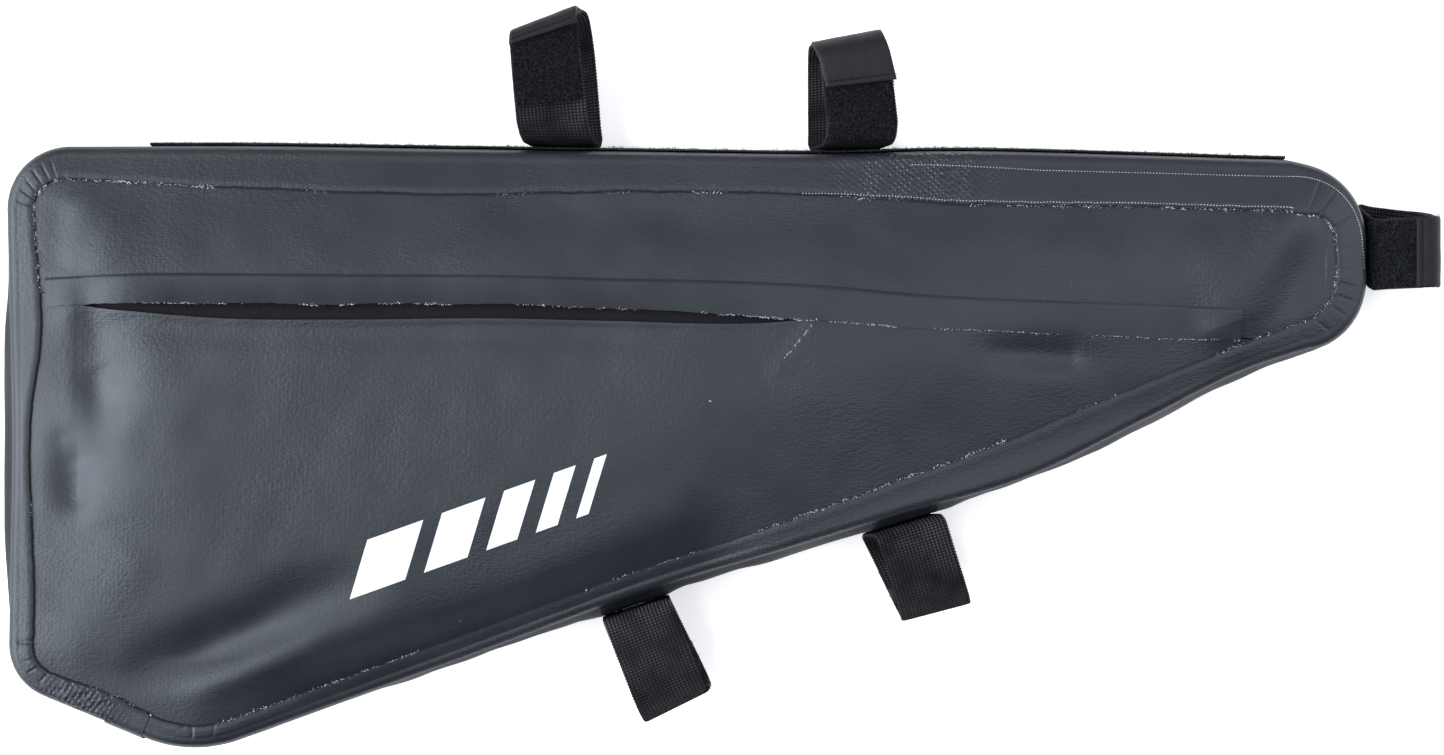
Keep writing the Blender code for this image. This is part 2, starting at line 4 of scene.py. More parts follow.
import bpy
import numpy as np
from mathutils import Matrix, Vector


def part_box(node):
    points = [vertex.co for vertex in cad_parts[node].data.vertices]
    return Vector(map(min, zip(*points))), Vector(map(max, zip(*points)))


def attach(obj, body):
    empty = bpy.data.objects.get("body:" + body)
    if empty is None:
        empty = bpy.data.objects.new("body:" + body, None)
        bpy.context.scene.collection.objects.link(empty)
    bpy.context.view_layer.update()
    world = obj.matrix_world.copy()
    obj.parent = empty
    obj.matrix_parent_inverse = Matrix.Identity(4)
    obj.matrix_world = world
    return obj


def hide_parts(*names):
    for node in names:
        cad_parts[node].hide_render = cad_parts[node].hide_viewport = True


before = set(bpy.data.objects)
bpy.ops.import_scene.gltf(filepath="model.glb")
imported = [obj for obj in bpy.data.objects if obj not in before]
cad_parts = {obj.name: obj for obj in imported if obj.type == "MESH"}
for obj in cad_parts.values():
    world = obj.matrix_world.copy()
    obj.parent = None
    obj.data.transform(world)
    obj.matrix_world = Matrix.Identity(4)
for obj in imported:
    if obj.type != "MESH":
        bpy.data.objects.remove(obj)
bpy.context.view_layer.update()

# Sizes of the solids, in metres
BAG_LENGTH = 0.4868
BAG_DEPTH = 0.217
BAG_THICKNESS = 0.047
PANEL_RISE = 0.006
PANEL_RAMP = 0.050
CLOTH = 0.0012
WEBBING = 0.0016
PILE = 0.0013
STRIP_THICKNESS = 0.0011
TAB = 0.0018
LAYER_GAP = 0.0004
EDGE_GAP = 0.0003
BORDER_WIDTH = 0.020
BACK_BORDER_WIDTH = 0.012
GUSSET_BULGE = 0.004
SHOULDER_RADIUS = 0.003
PANEL_TUCK = 0.0035
TAPE_TUCK = 0.0026
FLAP_LIFT = 0.0020
ANCHOR_STRIP_WIDTH = 0.020
STRAP_WIDTH = 0.0253
STRAP_FRONT_HEIGHT = 0.041
STRAP_BACK_HEIGHT = 0.008
STRAP_NEAR_BEND = 0.007
STRAP_FAR_BEND = 0.012
STRAP_SEAT_GAP = 0.0005
PLAIN_RUN_END = 3.40
TAB_START = 3.55

# The bag's corners, in order round it. Places on the outline are given in laps: 0 at the first
# corner, 1 at the second, and so on.
Corner = namedtuple("Corner", "name along down radius")
CORNERS = [
    Corner("top_left", 0.000, 0.005, 0.106),
    Corner("top_nose", 1.000, 0.031, 0.132),
    Corner("low_nose", 1.000, 0.316, 0.141),
    Corner("tip", 0.137, 1.016, 0.215),
    Corner("low_left", 0.000, 0.889, 0.099),
]

# Along the outline: how far it bows outward, how far the wall bulges, how wide the border is
Section = namedtuple("Section", "lap bow bulge border")
SECTIONS = [Section(*row) for row in (
    (0.05, 0.000, 0.18, 0.62), (0.18, 0.003, 0.18, 0.78), (0.32, 0.002, 0.18, 0.84),
    (0.48, 0.001, 0.18, 0.73), (0.60, 0.001, 0.18, 0.76), (0.69, 0.008, 0.18, 0.96),
    (0.83, 0.005, 0.18, 0.95), (0.92, 0.001, 0.18, 0.94), (1.00, 0.000, 0.35, 0.98),
    (1.12, 0.000, 0.35, 0.92), (1.32, 0.000, 0.35, 0.70), (1.55, 0.000, 0.35, 0.62),
    (2.03, 0.000, 0.50, 0.62), (2.10, 0.000, 0.80, 0.62), (2.19, 0.023, 0.90, 0.80),
    (2.30, 0.041, 0.60, 0.87), (2.40, 0.031, 0.80, 0.74), (2.50, 0.024, 1.00, 0.67),
    (2.60, 0.013, 1.00, 0.59), (2.78, 0.008, 0.70, 0.53), (2.94, 0.000, 0.35, 0.45),
    (3.30, 0.000, 0.35, 0.50), (3.52, 0.000, 0.35, 0.56), (3.80, 0.000, 0.35, 0.50),
    (4.20, 0.000, 0.60, 0.56), (4.48, 0.000, 0.80, 0.50), (4.66, 0.000, 0.60, 0.70),
    (4.88, 0.000, 0.35, 0.56),
)]

# The edges of the flap and of the slot that it covers, as shares of the bag's depth, and how
# far the flap stands off, 0 to 1
ZipLine = namedtuple("ZipLine", "along flap_top above flap_low below lift")
ZIP_LINES = [ZipLine(*row) for row in (
    (0.000, 0.2280, 0.250, 0.2740, 0.2515, 0.0), (0.030, 0.2240, 0.247, 0.2710, 0.2490, 0.0),
    (0.060, 0.2210, 0.245, 0.2680, 0.2695, 0.35), (0.100, 0.2170, 0.241, 0.2665, 0.280, 0.9),
    (0.163, 0.2169, 0.241, 0.2660, 0.291, 1.0), (0.246, 0.2185, 0.243, 0.2680, 0.293, 1.0),
    (0.363, 0.2202, 0.245, 0.2682, 0.291, 0.9), (0.442, 0.2250, 0.250, 0.2740, 0.295, 0.8),
    (0.559, 0.2318, 0.262, 0.2890, 0.298, 0.3), (0.600, 0.2370, 0.267, 0.2945, 0.291, 0.1),
    (0.664, 0.2500, 0.277, 0.3055, 0.300, 0.0), (0.780, 0.2632, 0.287, 0.3162, 0.311, 0.0),
    (0.851, 0.2690, 0.297, 0.3230, 0.319, 0.0), (0.905, 0.2745, 0.321, 0.3245, 0.324, 0.0),
    (0.940, 0.2780, 0.331, 0.3330, 0.333, 0.0),
)]
FLAP_START = 0.031
FLAP_END = 0.905
LOWER_PANEL_END = 0.940

# Broad folds of the front panels, as shares of the bag's length and depth
Fold = namedtuple("Fold", "name along down length width turn rise")
FOLDS = [
    Fold("rear_valley", 0.068, 0.36, 0.110, 0.034, 97, -0.012),
    Fold("rear_pocket", 0.050, 0.56, 0.060, 0.045, 80, -0.011),
    Fold("heel_valley", 0.160, 0.82, 0.190, 0.042, 25, -0.014),
    Fold("heel_ridge", 0.195, 0.86, 0.150, 0.035, 24, 0.008),
    Fold("slope_valley", 0.250, 0.88, 0.130, 0.028, 22, -0.010),
    Fold("nose_dent", 0.957, 0.235, 0.095, 0.050, 70, -0.020),
    Fold("nose_ridge", 0.885, 0.200, 0.090, 0.045, 80, 0.006),
    Fold("zip_hollow", 0.755, 0.350, 0.100, 0.028, -4, -0.007),
]
FOLD_FADE_START = 0.014
FOLD_FADE_LENGTH = 0.012

# The straps. Their lengths are in widths of the webbing. Face 1 closes on the front, -1 on the
# back, and turn is in degrees.
Strap = namedtuple("Strap", "name lap reach near plain far bow bend tab turn face pile")
STRAPS = [
    Strap("strap_top_left", 0.4043, 1.86, 0.00, 0.10, -0.21, -0.07, 0.17, 0.05, 22, 1, 0.66),
    Strap("strap_top_right", 0.6275, 1.66, 0.00, -0.20, -0.15, 0.12, 0.30, 0.38, 9, 1, 0.96),
    Strap("strap_nose", 1.5400, 1.02, 0.00, -0.27, -0.04, 0.00, 0.24, 0.12, 0, 1, 1.00),
    Strap("strap_low_right", 2.3900, 1.37, 0.28, 0.10, 0.08, 0.00, 0.40, 0.30, -2, -1, 0.66),
    Strap("strap_low_left", 2.6280, 1.55, 0.00, -0.05, -0.19, 0.00, 0.40, 0.30, 8, -1, 0.66),
]
GUSSET_JOINT_LAPS = (3.27, 3.47)
JOINT_STAND = 0.0005
JOINT_COAT = 0.0004
JOINT_BOTTOM = 0.0075
ANCHOR_STRIP_LAPS = (0.103, 0.943)

# The camera looks straight down from over the middle
CAMERA_PLACE = (-0.00053, -0.00017, 1.25)
CAMERA_LENS = 84.3
SENSOR = 36.0
IMAGE = (1444, 755)

# The sky's soft lights: the middle of each, how bright it is there, and how fast it falls off
SKY = [
    ((-0.707, 0.000, 0.707), 7.8, 12),
    ((-0.375, 0.000, 0.927), 0.60, 12),
    ((-0.868, 0.360, 0.342), 3.0, 12),
    ((-0.868, -0.360, 0.342), 3.4, 12),
    ((0.375, 0.000, 0.927), 0.40, 12),
    ((0.695, 0.180, 0.696), 1.8, 12),
    ((0.500, 0.500, 0.707), 0.9, 12),
    ((0.660, -0.250, 0.707), 0.1, 12),
    ((0.360, 0.868, 0.342), 0.5, 12),
    ((0.868, -0.360, 0.342), 0.5, 12),
    ((0.868, 0.360, 0.342), 0.7, 12),
    ((-0.360, 0.868, 0.342), 0.3, 12),
    ((0.360, -0.868, 0.342), 0.1, 12),
    ((0.300, -0.080, 0.951), 1.5, 40),
    ((-0.300, -0.060, 0.952), 0.8, 40),
]
SKY_TINT = (0.970, 0.990, 1.050)

# Fineness of the dressed cloth
ARC_STEP = 0.00048
RUN_STEP = 0.0012
PANEL_STEP = 0.0011
RIB_PITCH = 0.00105
RIB_COLUMN = 0.0034
RIB_SAMPLES = 4
PATCH_STEP = 0.0005
TAB_STEP = 0.00055
STRIP_STEP = 0.00045
STRIP_RUN = 0.41
SCALLOP = 0.00016
FRONT_LOOPS = 3000
BACK_LOOPS = 1100
STRIP_FIBRES = 2200
BORDER_THREADS = 3000
FLAP_THREADS = 2600
UPPER_PANEL_ROWS = 58
TAPE_GRID = (300, 10)
FLAP_GRID = (420, 24)
BACK_GRID = (180, 80)
COAT = 0.0008
HIDDEN_COLUMNS = 30

# The filled-out cloth: a low crown over the panels, and a border that rolls down to its rim
CROWN = 0.0022
CROWN_REACH = 0.055
ROLL = 0.0016
ROLL_REACH = 0.009

# Where fine folds start, inside the edge, and the length over which they grow
FINE_FADE_START = 0.008
FINE_FADE_LENGTH = 0.012

# Random lumps, as rows of (depth, distance across a lump, seed)
PANEL_LUMPS = [(0.00022, 0.030, 3), (0.00007, 0.011, 4)]
WALL_LUMPS = [(0.0006, 0.045, 21), (0.00025, 0.012, 22)]
BORDER_NICKS = [(0.00012, 0.018, 11), (0.00010, 0.0022, 12)]
FLAP_NICKS = [(0.00012, 0.003, 31), (0.00025, 0.02, 32)]

# How far the wall stands out along the bag's rear end
WALL_SWELL = 0.0030

SIDES = len(CORNERS)
RIM_HEIGHT = BAG_THICKNESS - CLOTH - LAYER_GAP


def curve_through(xs, ys, x):
    """Smooth curve through the rows (xs, ys), read at x."""
    xs = np.asarray(xs, float)
    ys = np.asarray(ys, float)
    slopes = np.gradient(ys, xs)
    k = np.clip(np.searchsorted(xs, x) - 1, 0, len(xs) - 2)
    step = xs[k + 1] - xs[k]
    t = (x - xs[k]) / step
    ends = ys[k] * (1 + 2 * t) * (1 - t) ** 2 + ys[k + 1] * t * t * (3 - 2 * t)
    return ends + step * t * (1 - t) * (slopes[k] * (1 - t) - slopes[k + 1] * t)


def unit(vectors):
    return vectors / np.linalg.norm(vectors, axis=-1, keepdims=True)


def read_rows(at, places, table):
    """The table's columns, known at places, read at other places."""
    return np.stack([np.interp(at, places, column) for column in table.T], axis=-1)


def run_lengths(points):
    """Length of the run from the first point to each."""
    return np.concatenate([[0], np.cumsum(np.linalg.norm(np.diff(points, axis=0), axis=1))])


def section_value(column, lap):
    laps = [row.lap + turn * SIDES for turn in (-1, 0, 1) for row in SECTIONS]
    values = [getattr(row, column) for row in SECTIONS] * 3
    return curve_through(laps, values, np.asarray(lap, float))


def zip_line(column, x):
    values = [getattr(row, column) for row in ZIP_LINES]
    shares = curve_through([row.along for row in ZIP_LINES], values, np.asarray(x) / BAG_LENGTH)
    return shares * BAG_DEPTH


def corner_places():
    return [np.array([row.along * BAG_LENGTH, -row.down * BAG_DEPTH]) for row in CORNERS]


def right_of(direction):
    return np.array([direction[1], -direction[0]])


def fillet(before, corner, after, radius, steps):
    """Round corner between two straight runs, as rows of (place, x, y)."""
    length_before = np.linalg.norm(corner - before)
    length_after = np.linalg.norm(after - corner)
    turn = math.acos(float((corner - before) @ (after - corner)) / (length_before * length_after))
    reach = radius * math.tan(turn / 2)
    start = corner + (before - corner) / length_before * reach
    end = corner + (after - corner) / length_after * reach
    centre = corner + ((start + end) / 2 - corner) / math.sin(turn / 2) ** 2
    rows = []
    for share in np.linspace(0, 1, steps + 1):
        from_start = math.sin(turn * (1 - share)) / math.sin(turn)
        from_end = math.sin(turn * share) / math.sin(turn)
        spot = centre + (start - centre) * from_start + (end - centre) * from_end
        place = share * reach / length_after - (1 - share) * reach / length_before
        rows.append((place, *spot))
    return np.array(rows)


def corner_arc(k):
    places = corner_places()
    corner = CORNERS[k]
    radius = corner.radius * BAG_DEPTH
    ahead = places[(k + 1) % SIDES] - places[k]
    behind = places[k] - places[k - 1]
    cosine = float(ahead @ behind) / (np.linalg.norm(ahead) * np.linalg.norm(behind))
    steps = round(radius * math.acos(cosine) / ARC_STEP)
    rows = fillet(places[k - 1], places[k], places[(k + 1) % SIDES], radius, steps)
    return rows + [k, 0, 0]


def outline_rows():
    arcs = [corner_arc(k) for k in range(SIDES)]
    rows = []
    for k in range(SIDES):
        end = arcs[k][-1]
        start = arcs[(k + 1) % SIDES][0]
        if k == SIDES - 1:
            start = start + [SIDES, 0, 0]
        pieces = max(1, round(math.dist(end[1:], start[1:]) / RUN_STEP))
        rows += list(arcs[k])
        rows += [end + (start - end) * step / pieces for step in range(1, pieces)]
    return np.array(rows)


def outward_directions(places):
    along = np.roll(places, -3, axis=0) - np.roll(places, 3, axis=0)
    return unit(np.stack([-along[:, 1], along[:, 0]], axis=1))


def bowed_outline():
    rows = outline_rows()
    laps = rows[:, 0]
    bow = section_value("bow", laps) * BAG_DEPTH
    places = rows[:, 1:] + outward_directions(rows[:, 1:]) * bow[:, None]
    return laps, places, outward_directions(places)


LAPS, OUTLINE, OUTWARDS = bowed_outline()
RIM_INSET = section_value("bulge", LAPS) * GUSSET_BULGE
BORDER_INSET = section_value("border", LAPS) * BORDER_WIDTH
ARC = run_lengths(OUTLINE)
OUTER_EDGE = OUTLINE + OUTWARDS * CLOTH / 2

# From the outline's own coordinates to the frame's
WALL_LOW, WALL_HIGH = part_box("gusset_wall")
SHIFT = np.array([WALL_LOW[0] - OUTER_EDGE[:, 0].min(), WALL_HIGH[1] - OUTER_EDGE[:, 1].max()])


def place_world(points):
    """Points (..., 3) in the outline's coordinates, moved to the frame's."""
    moved = np.array(points, float)
    moved[..., :2] += SHIFT
    return moved


def from_image(u, v, height=0.049):
    """Place under a point of the picture, in the outline's coordinates."""
    scale = CAMERA_LENS / SENSOR * IMAGE[0] / (CAMERA_PLACE[2] - height)
    x = (np.asarray(u, float) - IMAGE[0] / 2) / scale + CAMERA_PLACE[0] - SHIFT[0]
    y = (IMAGE[1] / 2 - np.asarray(v, float)) / scale + CAMERA_PLACE[1] - SHIFT[1]
    return np.stack([x, y], axis=-1)


def waves(points, scale, seed, count=18):
    """Smooth random field, about -1 to 1, whose lumps are about scale across."""
    rng = np.random.default_rng(seed)
    points = np.asarray(points, float)
    turns = rng.normal(size=(count, points.shape[-1]))
    turns /= np.linalg.norm(turns, axis=1)[:, None]
    turns *= (2 * math.pi / (scale * rng.uniform(1.2, 2.6, count)))[:, None]
    phases = rng.uniform(0, 2 * math.pi, count)
    return np.sin(points @ turns.T + phases).sum(axis=-1) / math.sqrt(count)


def lumps(points, table):
    return sum(depth * waves(points, across, seed) for depth, across, seed in table)


def on_line(values):
    """Points of a straight line, for waves and lumps that run along an edge."""
    return np.stack([values, np.zeros_like(values)], axis=1)


def edge_distance(points):
    places = corner_places()
    total = 0
    for k in range(SIDES):
        inwards = right_of(unit(places[(k + 1) % SIDES] - places[k]))
        distance = np.maximum((points - places[k]) @ inwards, CLOTH)
        total = total + distance ** -3
    return total ** (-1 / 3)


# Fine folds and creases, each a line between two points of the picture: how far it
# rises, and its half width, in millimetres.
Crease = namedtuple("Crease", "u0 v0 u1 v1 rise width")
CREASES = [Crease(*row) for row in (
    (84, 196, 106, 262, 0.6, 10.0), (56, 212, 54, 262, -0.5, 6.0), (74, 312, 96, 362, 0.7, 6.0),
    (112, 330, 128, 400, -0.5, 8.0), (58, 440, 74, 500, -0.5, 6.0), (82, 470, 96, 520, 0.4, 7.0),
    (70, 650, 130, 560, 0.7, 10.0), (1226, 332, 1290, 218, 2.6, 10.0), (1326, 250, 1326, 288, -0.35, 0.7),
    (1000, 352, 1070, 355, -0.8, 5.0), (780, 365, 812, 326, 0.35, 4.0), (760, 372, 800, 330, -0.3, 5.0),
    (140, 215, 330, 212, 0.3, 9.0), (560, 215, 760, 230, -0.3, 9.0), (900, 235, 1120, 240, 0.35, 9.0),
    (120, 690, 330, 588, -0.9, 11.0), (215, 700, 400, 600, 1.3, 14.0), (330, 660, 640, 530, 1.3, 12.0),
    (350, 705, 690, 560, -0.8, 9.0),
)]

# Where the edge itself rolls down towards the slope
ROLLS = [
    Crease(345, 706, 700, 578, -5.4, 15.0),
]

# Sharp puckers of the border round its corners: from the rim to the raw edge.
PUCKERS = [Crease(*row) for row in (
    (13, 200, 33, 207, -0.28, 0.40), (17, 188, 34, 200, -0.32, 0.40), (23, 178, 37, 194, -0.26, 0.35),
    (31, 170, 43, 187, -0.34, 0.40), (39, 163, 49, 181, -0.26, 0.35), (48, 158, 55, 177, -0.18, 0.35),
    (1322, 180, 1310, 209, -0.22, 0.45), (1338, 190, 1318, 216, -0.20, 0.40),
    (1355, 216, 1326, 232, -0.18, 0.40), (1366, 246, 1337, 252, -0.16, 0.40),
    (1366, 272, 1338, 270, -0.22, 0.40), (1364, 288, 1336, 281, -0.30, 0.40),
    (1358, 302, 1330, 292, -0.34, 0.45), (1348, 316, 1322, 299, -0.24, 0.45),
    (1330, 330, 1306, 312, -0.30, 0.45), (1308, 340, 1294, 322, -0.20, 0.45),
    (12, 644, 33, 643, -0.34, 0.45), (16, 664, 38, 657, -0.20, 0.40), (22, 676, 42, 664, -0.30, 0.40),
    (33, 688, 48, 672, -0.24, 0.40), (46, 697, 58, 679, -0.26, 0.40), (64, 706, 72, 686, -0.20, 0.40),
    (191, 741, 191, 722, -0.30, 0.40), (210, 745, 214, 722, -0.16, 0.50),
)]


def crease_height(points, table, fade=0.16):
    """Sum of the table's creases over each point, in metres."""
    height = np.zeros(points.shape[:-1])
    for row in table:
        start = from_image(row.u0, row.v0)
        end = from_image(row.u1, row.v1)
        length = np.linalg.norm(end - start)
        along = (end - start) / length
        offset = points - start
        place = offset @ along / length
        across = offset @ right_of(along) / (row.width / 1000)
        over = np.maximum(np.maximum(-place, place - 1), 0) / fade
        height = height + row.rise / 1000 * np.exp(-across ** 2 - over ** 2)
    return height


def base_height(points):
    """Height of the front panels' outer face over each point, with its main folds."""
    inside = edge_distance(points)
    ramp = np.clip((inside - PANEL_TUCK) / PANEL_RAMP, 0, 1)
    height = RIM_HEIGHT + PANEL_RISE * np.sin(ramp * math.pi / 2) ** 2
    fade = np.clip((inside - FOLD_FADE_START) / FOLD_FADE_LENGTH, 0, 1)
    for fold in FOLDS:
        middle = np.array([fold.along * BAG_LENGTH, -fold.down * BAG_DEPTH])
        offset = (points - middle) / BAG_DEPTH
        turn = math.radians(fold.turn)
        along = offset @ np.array([math.cos(turn), math.sin(turn)]) / fold.length
        across = offset @ np.array([-math.sin(turn), math.cos(turn)]) / fold.width
        height = height + fold.rise * BAG_DEPTH * fade * np.exp(-along ** 2 - across ** 2)
    crown = CROWN * (1 - np.exp(-(inside / CROWN_REACH) ** 2))
    return height + crown - ROLL * np.exp(-(inside / ROLL_REACH) ** 2) + crease_height(points, ROLLS)


def front_height(points):
    """The panels' outer face with its fine folds and faint unevenness."""
    points = np.asarray(points, float)
    inside = edge_distance(points)
    fade = np.clip((inside - FINE_FADE_START) / FINE_FADE_LENGTH, 0, 1)
    return base_height(points) + fade * (crease_height(points, CREASES) + lumps(points, PANEL_LUMPS))


def make_object(name, points, faces, materials, uv=None, face_material=None, attributes=None):
    """Mesh object in the frame. faces is a list of arrays, each with one corner count."""
    corners = np.concatenate([group.ravel() for group in faces]).astype(np.int32)
    sizes = np.concatenate([np.full(len(group), group.shape[1]) for group in faces])
    mesh = bpy.data.meshes.new(name)
    mesh.vertices.add(len(points))
    mesh.vertices.foreach_set("co", np.asarray(points, np.float32).ravel())
    mesh.loops.add(len(corners))
    mesh.loops.foreach_set("vertex_index", corners)
    mesh.polygons.add(len(sizes))
    mesh.polygons.foreach_set("loop_start", (np.cumsum(sizes) - sizes).astype(np.int32))
    for material in materials:
        mesh.materials.append(material)
    if face_material is not None:
        mesh.polygons.foreach_set("material_index", np.asarray(face_material, np.int32))
    mesh.polygons.foreach_set("use_smooth", np.ones(len(sizes), bool))
    mesh.update(calc_edges=True)
    if uv is not None:
        layer = mesh.uv_layers.new(name="weave")
        layer.uv.foreach_set("vector", np.asarray(uv, np.float32)[corners].ravel())
    for key, values in (attributes or {}).items():
        made = mesh.attributes.new(key, "FLOAT", "POINT")
        made.data.foreach_set("value", np.asarray(values, np.float32))
    mesh.validate()
    obj = bpy.data.objects.new(name, mesh)
    bpy.context.scene.collection.objects.link(obj)
    return obj


def faces_in(points, quads):
    """Whether the quads of a closed mesh face its inside."""
    a, b, c, d = (points[quads[:, k]] for k in range(4))
    return np.einsum("ij,ij->i", a, np.cross(b, c) + np.cross(c, d)).sum() < 0


def grid_faces(rows, columns, first=0, ring=False):
    """Quads of a grid of points, rows by columns, numbered from first."""
    i = np.arange(rows if ring else rows - 1)[:, None]
    j = np.arange(columns - 1)[None, :]
    n = (i + 1) % rows
    here = i * columns + j
    ahead = n * columns + j
    return np.stack([here, ahead, ahead + 1, here + 1], axis=-1).reshape(-1, 4) + first


def side_faces(outer_ids, inner_ids, ring=False):
    """Quads between two rows of points with the same count."""
    if ring:
        outer_ids = np.append(outer_ids, outer_ids[0])
        inner_ids = np.append(inner_ids, inner_ids[0])
    return np.stack([outer_ids[1:], outer_ids[:-1], inner_ids[:-1], inner_ids[1:]], axis=1)


def shell(name, outer, inner, materials, fray=None, ring=False, uv=None):
    """Closed cloth between two grids of points. Its cut edges take the second material."""
    rows, columns = outer.shape[:2]
    inner_columns = inner.shape[1]
    points = np.concatenate([outer.reshape(-1, 3), inner.reshape(-1, 3)])
    first = rows * columns
    top = grid_faces(rows, columns, ring=ring)
    under = grid_faces(rows, inner_columns, first, ring)[:, ::-1]
    outer_ids = np.arange(rows * columns).reshape(rows, columns)
    inner_ids = np.arange(rows * inner_columns).reshape(rows, inner_columns) + first
    low = side_faces(outer_ids[:, 0], inner_ids[:, 0], ring)
    high = side_faces(outer_ids[:, -1], inner_ids[:, -1], ring)[:, ::-1]
    quads = np.concatenate([top, under, low, high])
    faces = [quads]
    if not ring:
        faces.append(np.concatenate([outer_ids[0], inner_ids[0][::-1]])[None, ::-1])
        faces.append(np.concatenate([outer_ids[-1], inner_ids[-1][::-1]])[None])
    edge = np.zeros(sum(map(len, faces)), int)
    if len(materials) > 1:
        edge[len(top) + len(under):] = 1
    if faces_in(points, quads):
        faces = [group[:, ::-1] for group in faces]
    attributes = {}
    if fray is not None:
        spread = [np.broadcast_to(fray, grid.shape[:2]).ravel() for grid in (outer, inner)]
        attributes["fray"] = np.concatenate(spread)
    made = make_object(name, place_world(points), faces, materials, uv, edge, attributes)
    made.data.set_sharp_from_angle(angle=math.radians(50))
    return made


def tubes(name, paths, radii, material, sides=3):
    """Many small closed tubes as one mesh: paths is (count, rings, 3), radii (count, rings)."""
    count, rings = paths.shape[:2]
    along = unit(np.gradient(paths, axis=1))
    aside = unit(np.cross(along, np.array([0.31, 0.22, 0.92])))
    other = np.cross(along, aside)
    angles = np.arange(sides) * 2 * math.pi / sides
    spokes = aside[:, :, None] * np.cos(angles)[None, None, :, None]
    spokes = spokes + other[:, :, None] * np.sin(angles)[None, None, :, None]
    points = paths[:, :, None] + spokes * radii[:, :, None, None]
    ids = np.arange(count * rings * sides).reshape(count, rings, sides)
    beside = np.roll(ids, -1, axis=2)
    quads = np.stack([ids[:, :-1], beside[:, :-1], beside[:, 1:], ids[:, 1:]], axis=-1)
    triangles = quads.reshape(-1, 4)[:, [0, 1, 2, 0, 2, 3]].reshape(-1, 3)
    caps = []
    for ring, order in ((0, slice(None, None, -1)), (rings - 1, slice(None))):
        for k in range(1, sides - 1):
            caps.append(ids[:, ring][:, [0, k, k + 1]][:, order])
    return make_object(name, place_world(points.reshape(-1, 3)), [triangles] + caps, [material])


# Materials

def new_material(name):
    material = bpy.data.materials.new(name)
    material.use_nodes = True
    return material, material.node_tree, material.node_tree.nodes["Principled BSDF"]


def set_inputs(node, inputs):
    """Set a node's inputs by name or number. Another node's socket is linked instead."""
    for key, value in inputs.items():
        if isinstance(value, bpy.types.NodeSocket):
            node.id_data.links.new(value, node.inputs[key])
        else:
            node.inputs[key].default_value = value


def add_node(tree, kind, inputs, **settings):
    node = tree.nodes.new("ShaderNode" + kind)
    for key, value in settings.items():
        setattr(node, key, value)
    set_inputs(node, inputs)
    return node


def noise_ramp(tree, vector, scale, low, high):
    """Noise of a scale per metre, spread over 0 to 1 between low and high."""
    noise = add_node(tree, "TexNoise", {"Vector": vector, "Scale": scale, "Detail": 3.0})
    inputs = {"Value": noise.outputs["Fac"], "From Min": low, "From Max": high}
    return add_node(tree, "MapRange", inputs).outputs["Result"]


def mix_colours(tree, factor, first, second):
    """From the first colour to the second, each a socket or three numbers."""
    first, second = ((*value, 1) if isinstance(value, tuple) else value for value in (first, second))
    mix = add_node(tree, "Mix", {"Factor": factor, 6: first, 7: second}, data_type="RGBA")
    return mix.outputs[2]


def math_node(tree, operation, *values):
    return add_node(tree, "Math", dict(enumerate(values)), operation=operation).outputs[0]


def object_coordinates(tree):
    return add_node(tree, "TexCoord", {}).outputs["Object"]


def add_bump(tree, height, distance, strength, before=None):
    inputs = {"Height": height, "Distance": distance, "Strength": strength}
    if before is not None:
        inputs["Normal"] = before
    return add_node(tree, "Bump", inputs).outputs["Normal"]


def pressed_dots(tree, vector, pitch, turn, stretch, randomness):
    """Rows of small raised dots, as high as 1, at a pitch in metres, longer along the rows."""
    rotation = (0.2, 0.15, math.radians(turn))
    inputs = {"Vector": vector, "Rotation": rotation, "Scale": (1 / stretch, 1, 1)}
    turned = add_node(tree, "Mapping", inputs).outputs["Vector"]
    inputs = {"Vector": turned, "Scale": 1 / pitch, "Randomness": randomness}
    return add_node(tree, "TexVoronoi", inputs, feature="SMOOTH_F1").outputs["Distance"]


def near_spots(tree, vector, spots):
    """1 at the places of the picture in spots, (u, v, reach in metres), 0 away from them."""
    total = 0.0
    for u, v, reach in spots:
        middle = place_world(np.append(from_image(u, v), BAG_THICKNESS))
        away = add_node(tree, "VectorMath", {0: vector, 1: tuple(middle)}, operation="DISTANCE")
        share = math_node(tree, "DIVIDE", away.outputs["Value"], -reach)
        near = math_node(tree, "MAXIMUM", math_node(tree, "ADD", share, 1.0), 0.0)
        total = math_node(tree, "ADD", near, total)
    return math_node(tree, "MINIMUM", total, 1.0)


SLATE_DARK = (0.0066, 0.0078, 0.0104)
SLATE_LIGHT = (0.0096, 0.0113, 0.0146)
DUST_COLOUR = (0.30, 0.32, 0.34)
WEAVE_PITCH = 0.0009
STRONG_DOT_PITCH = 0.0017


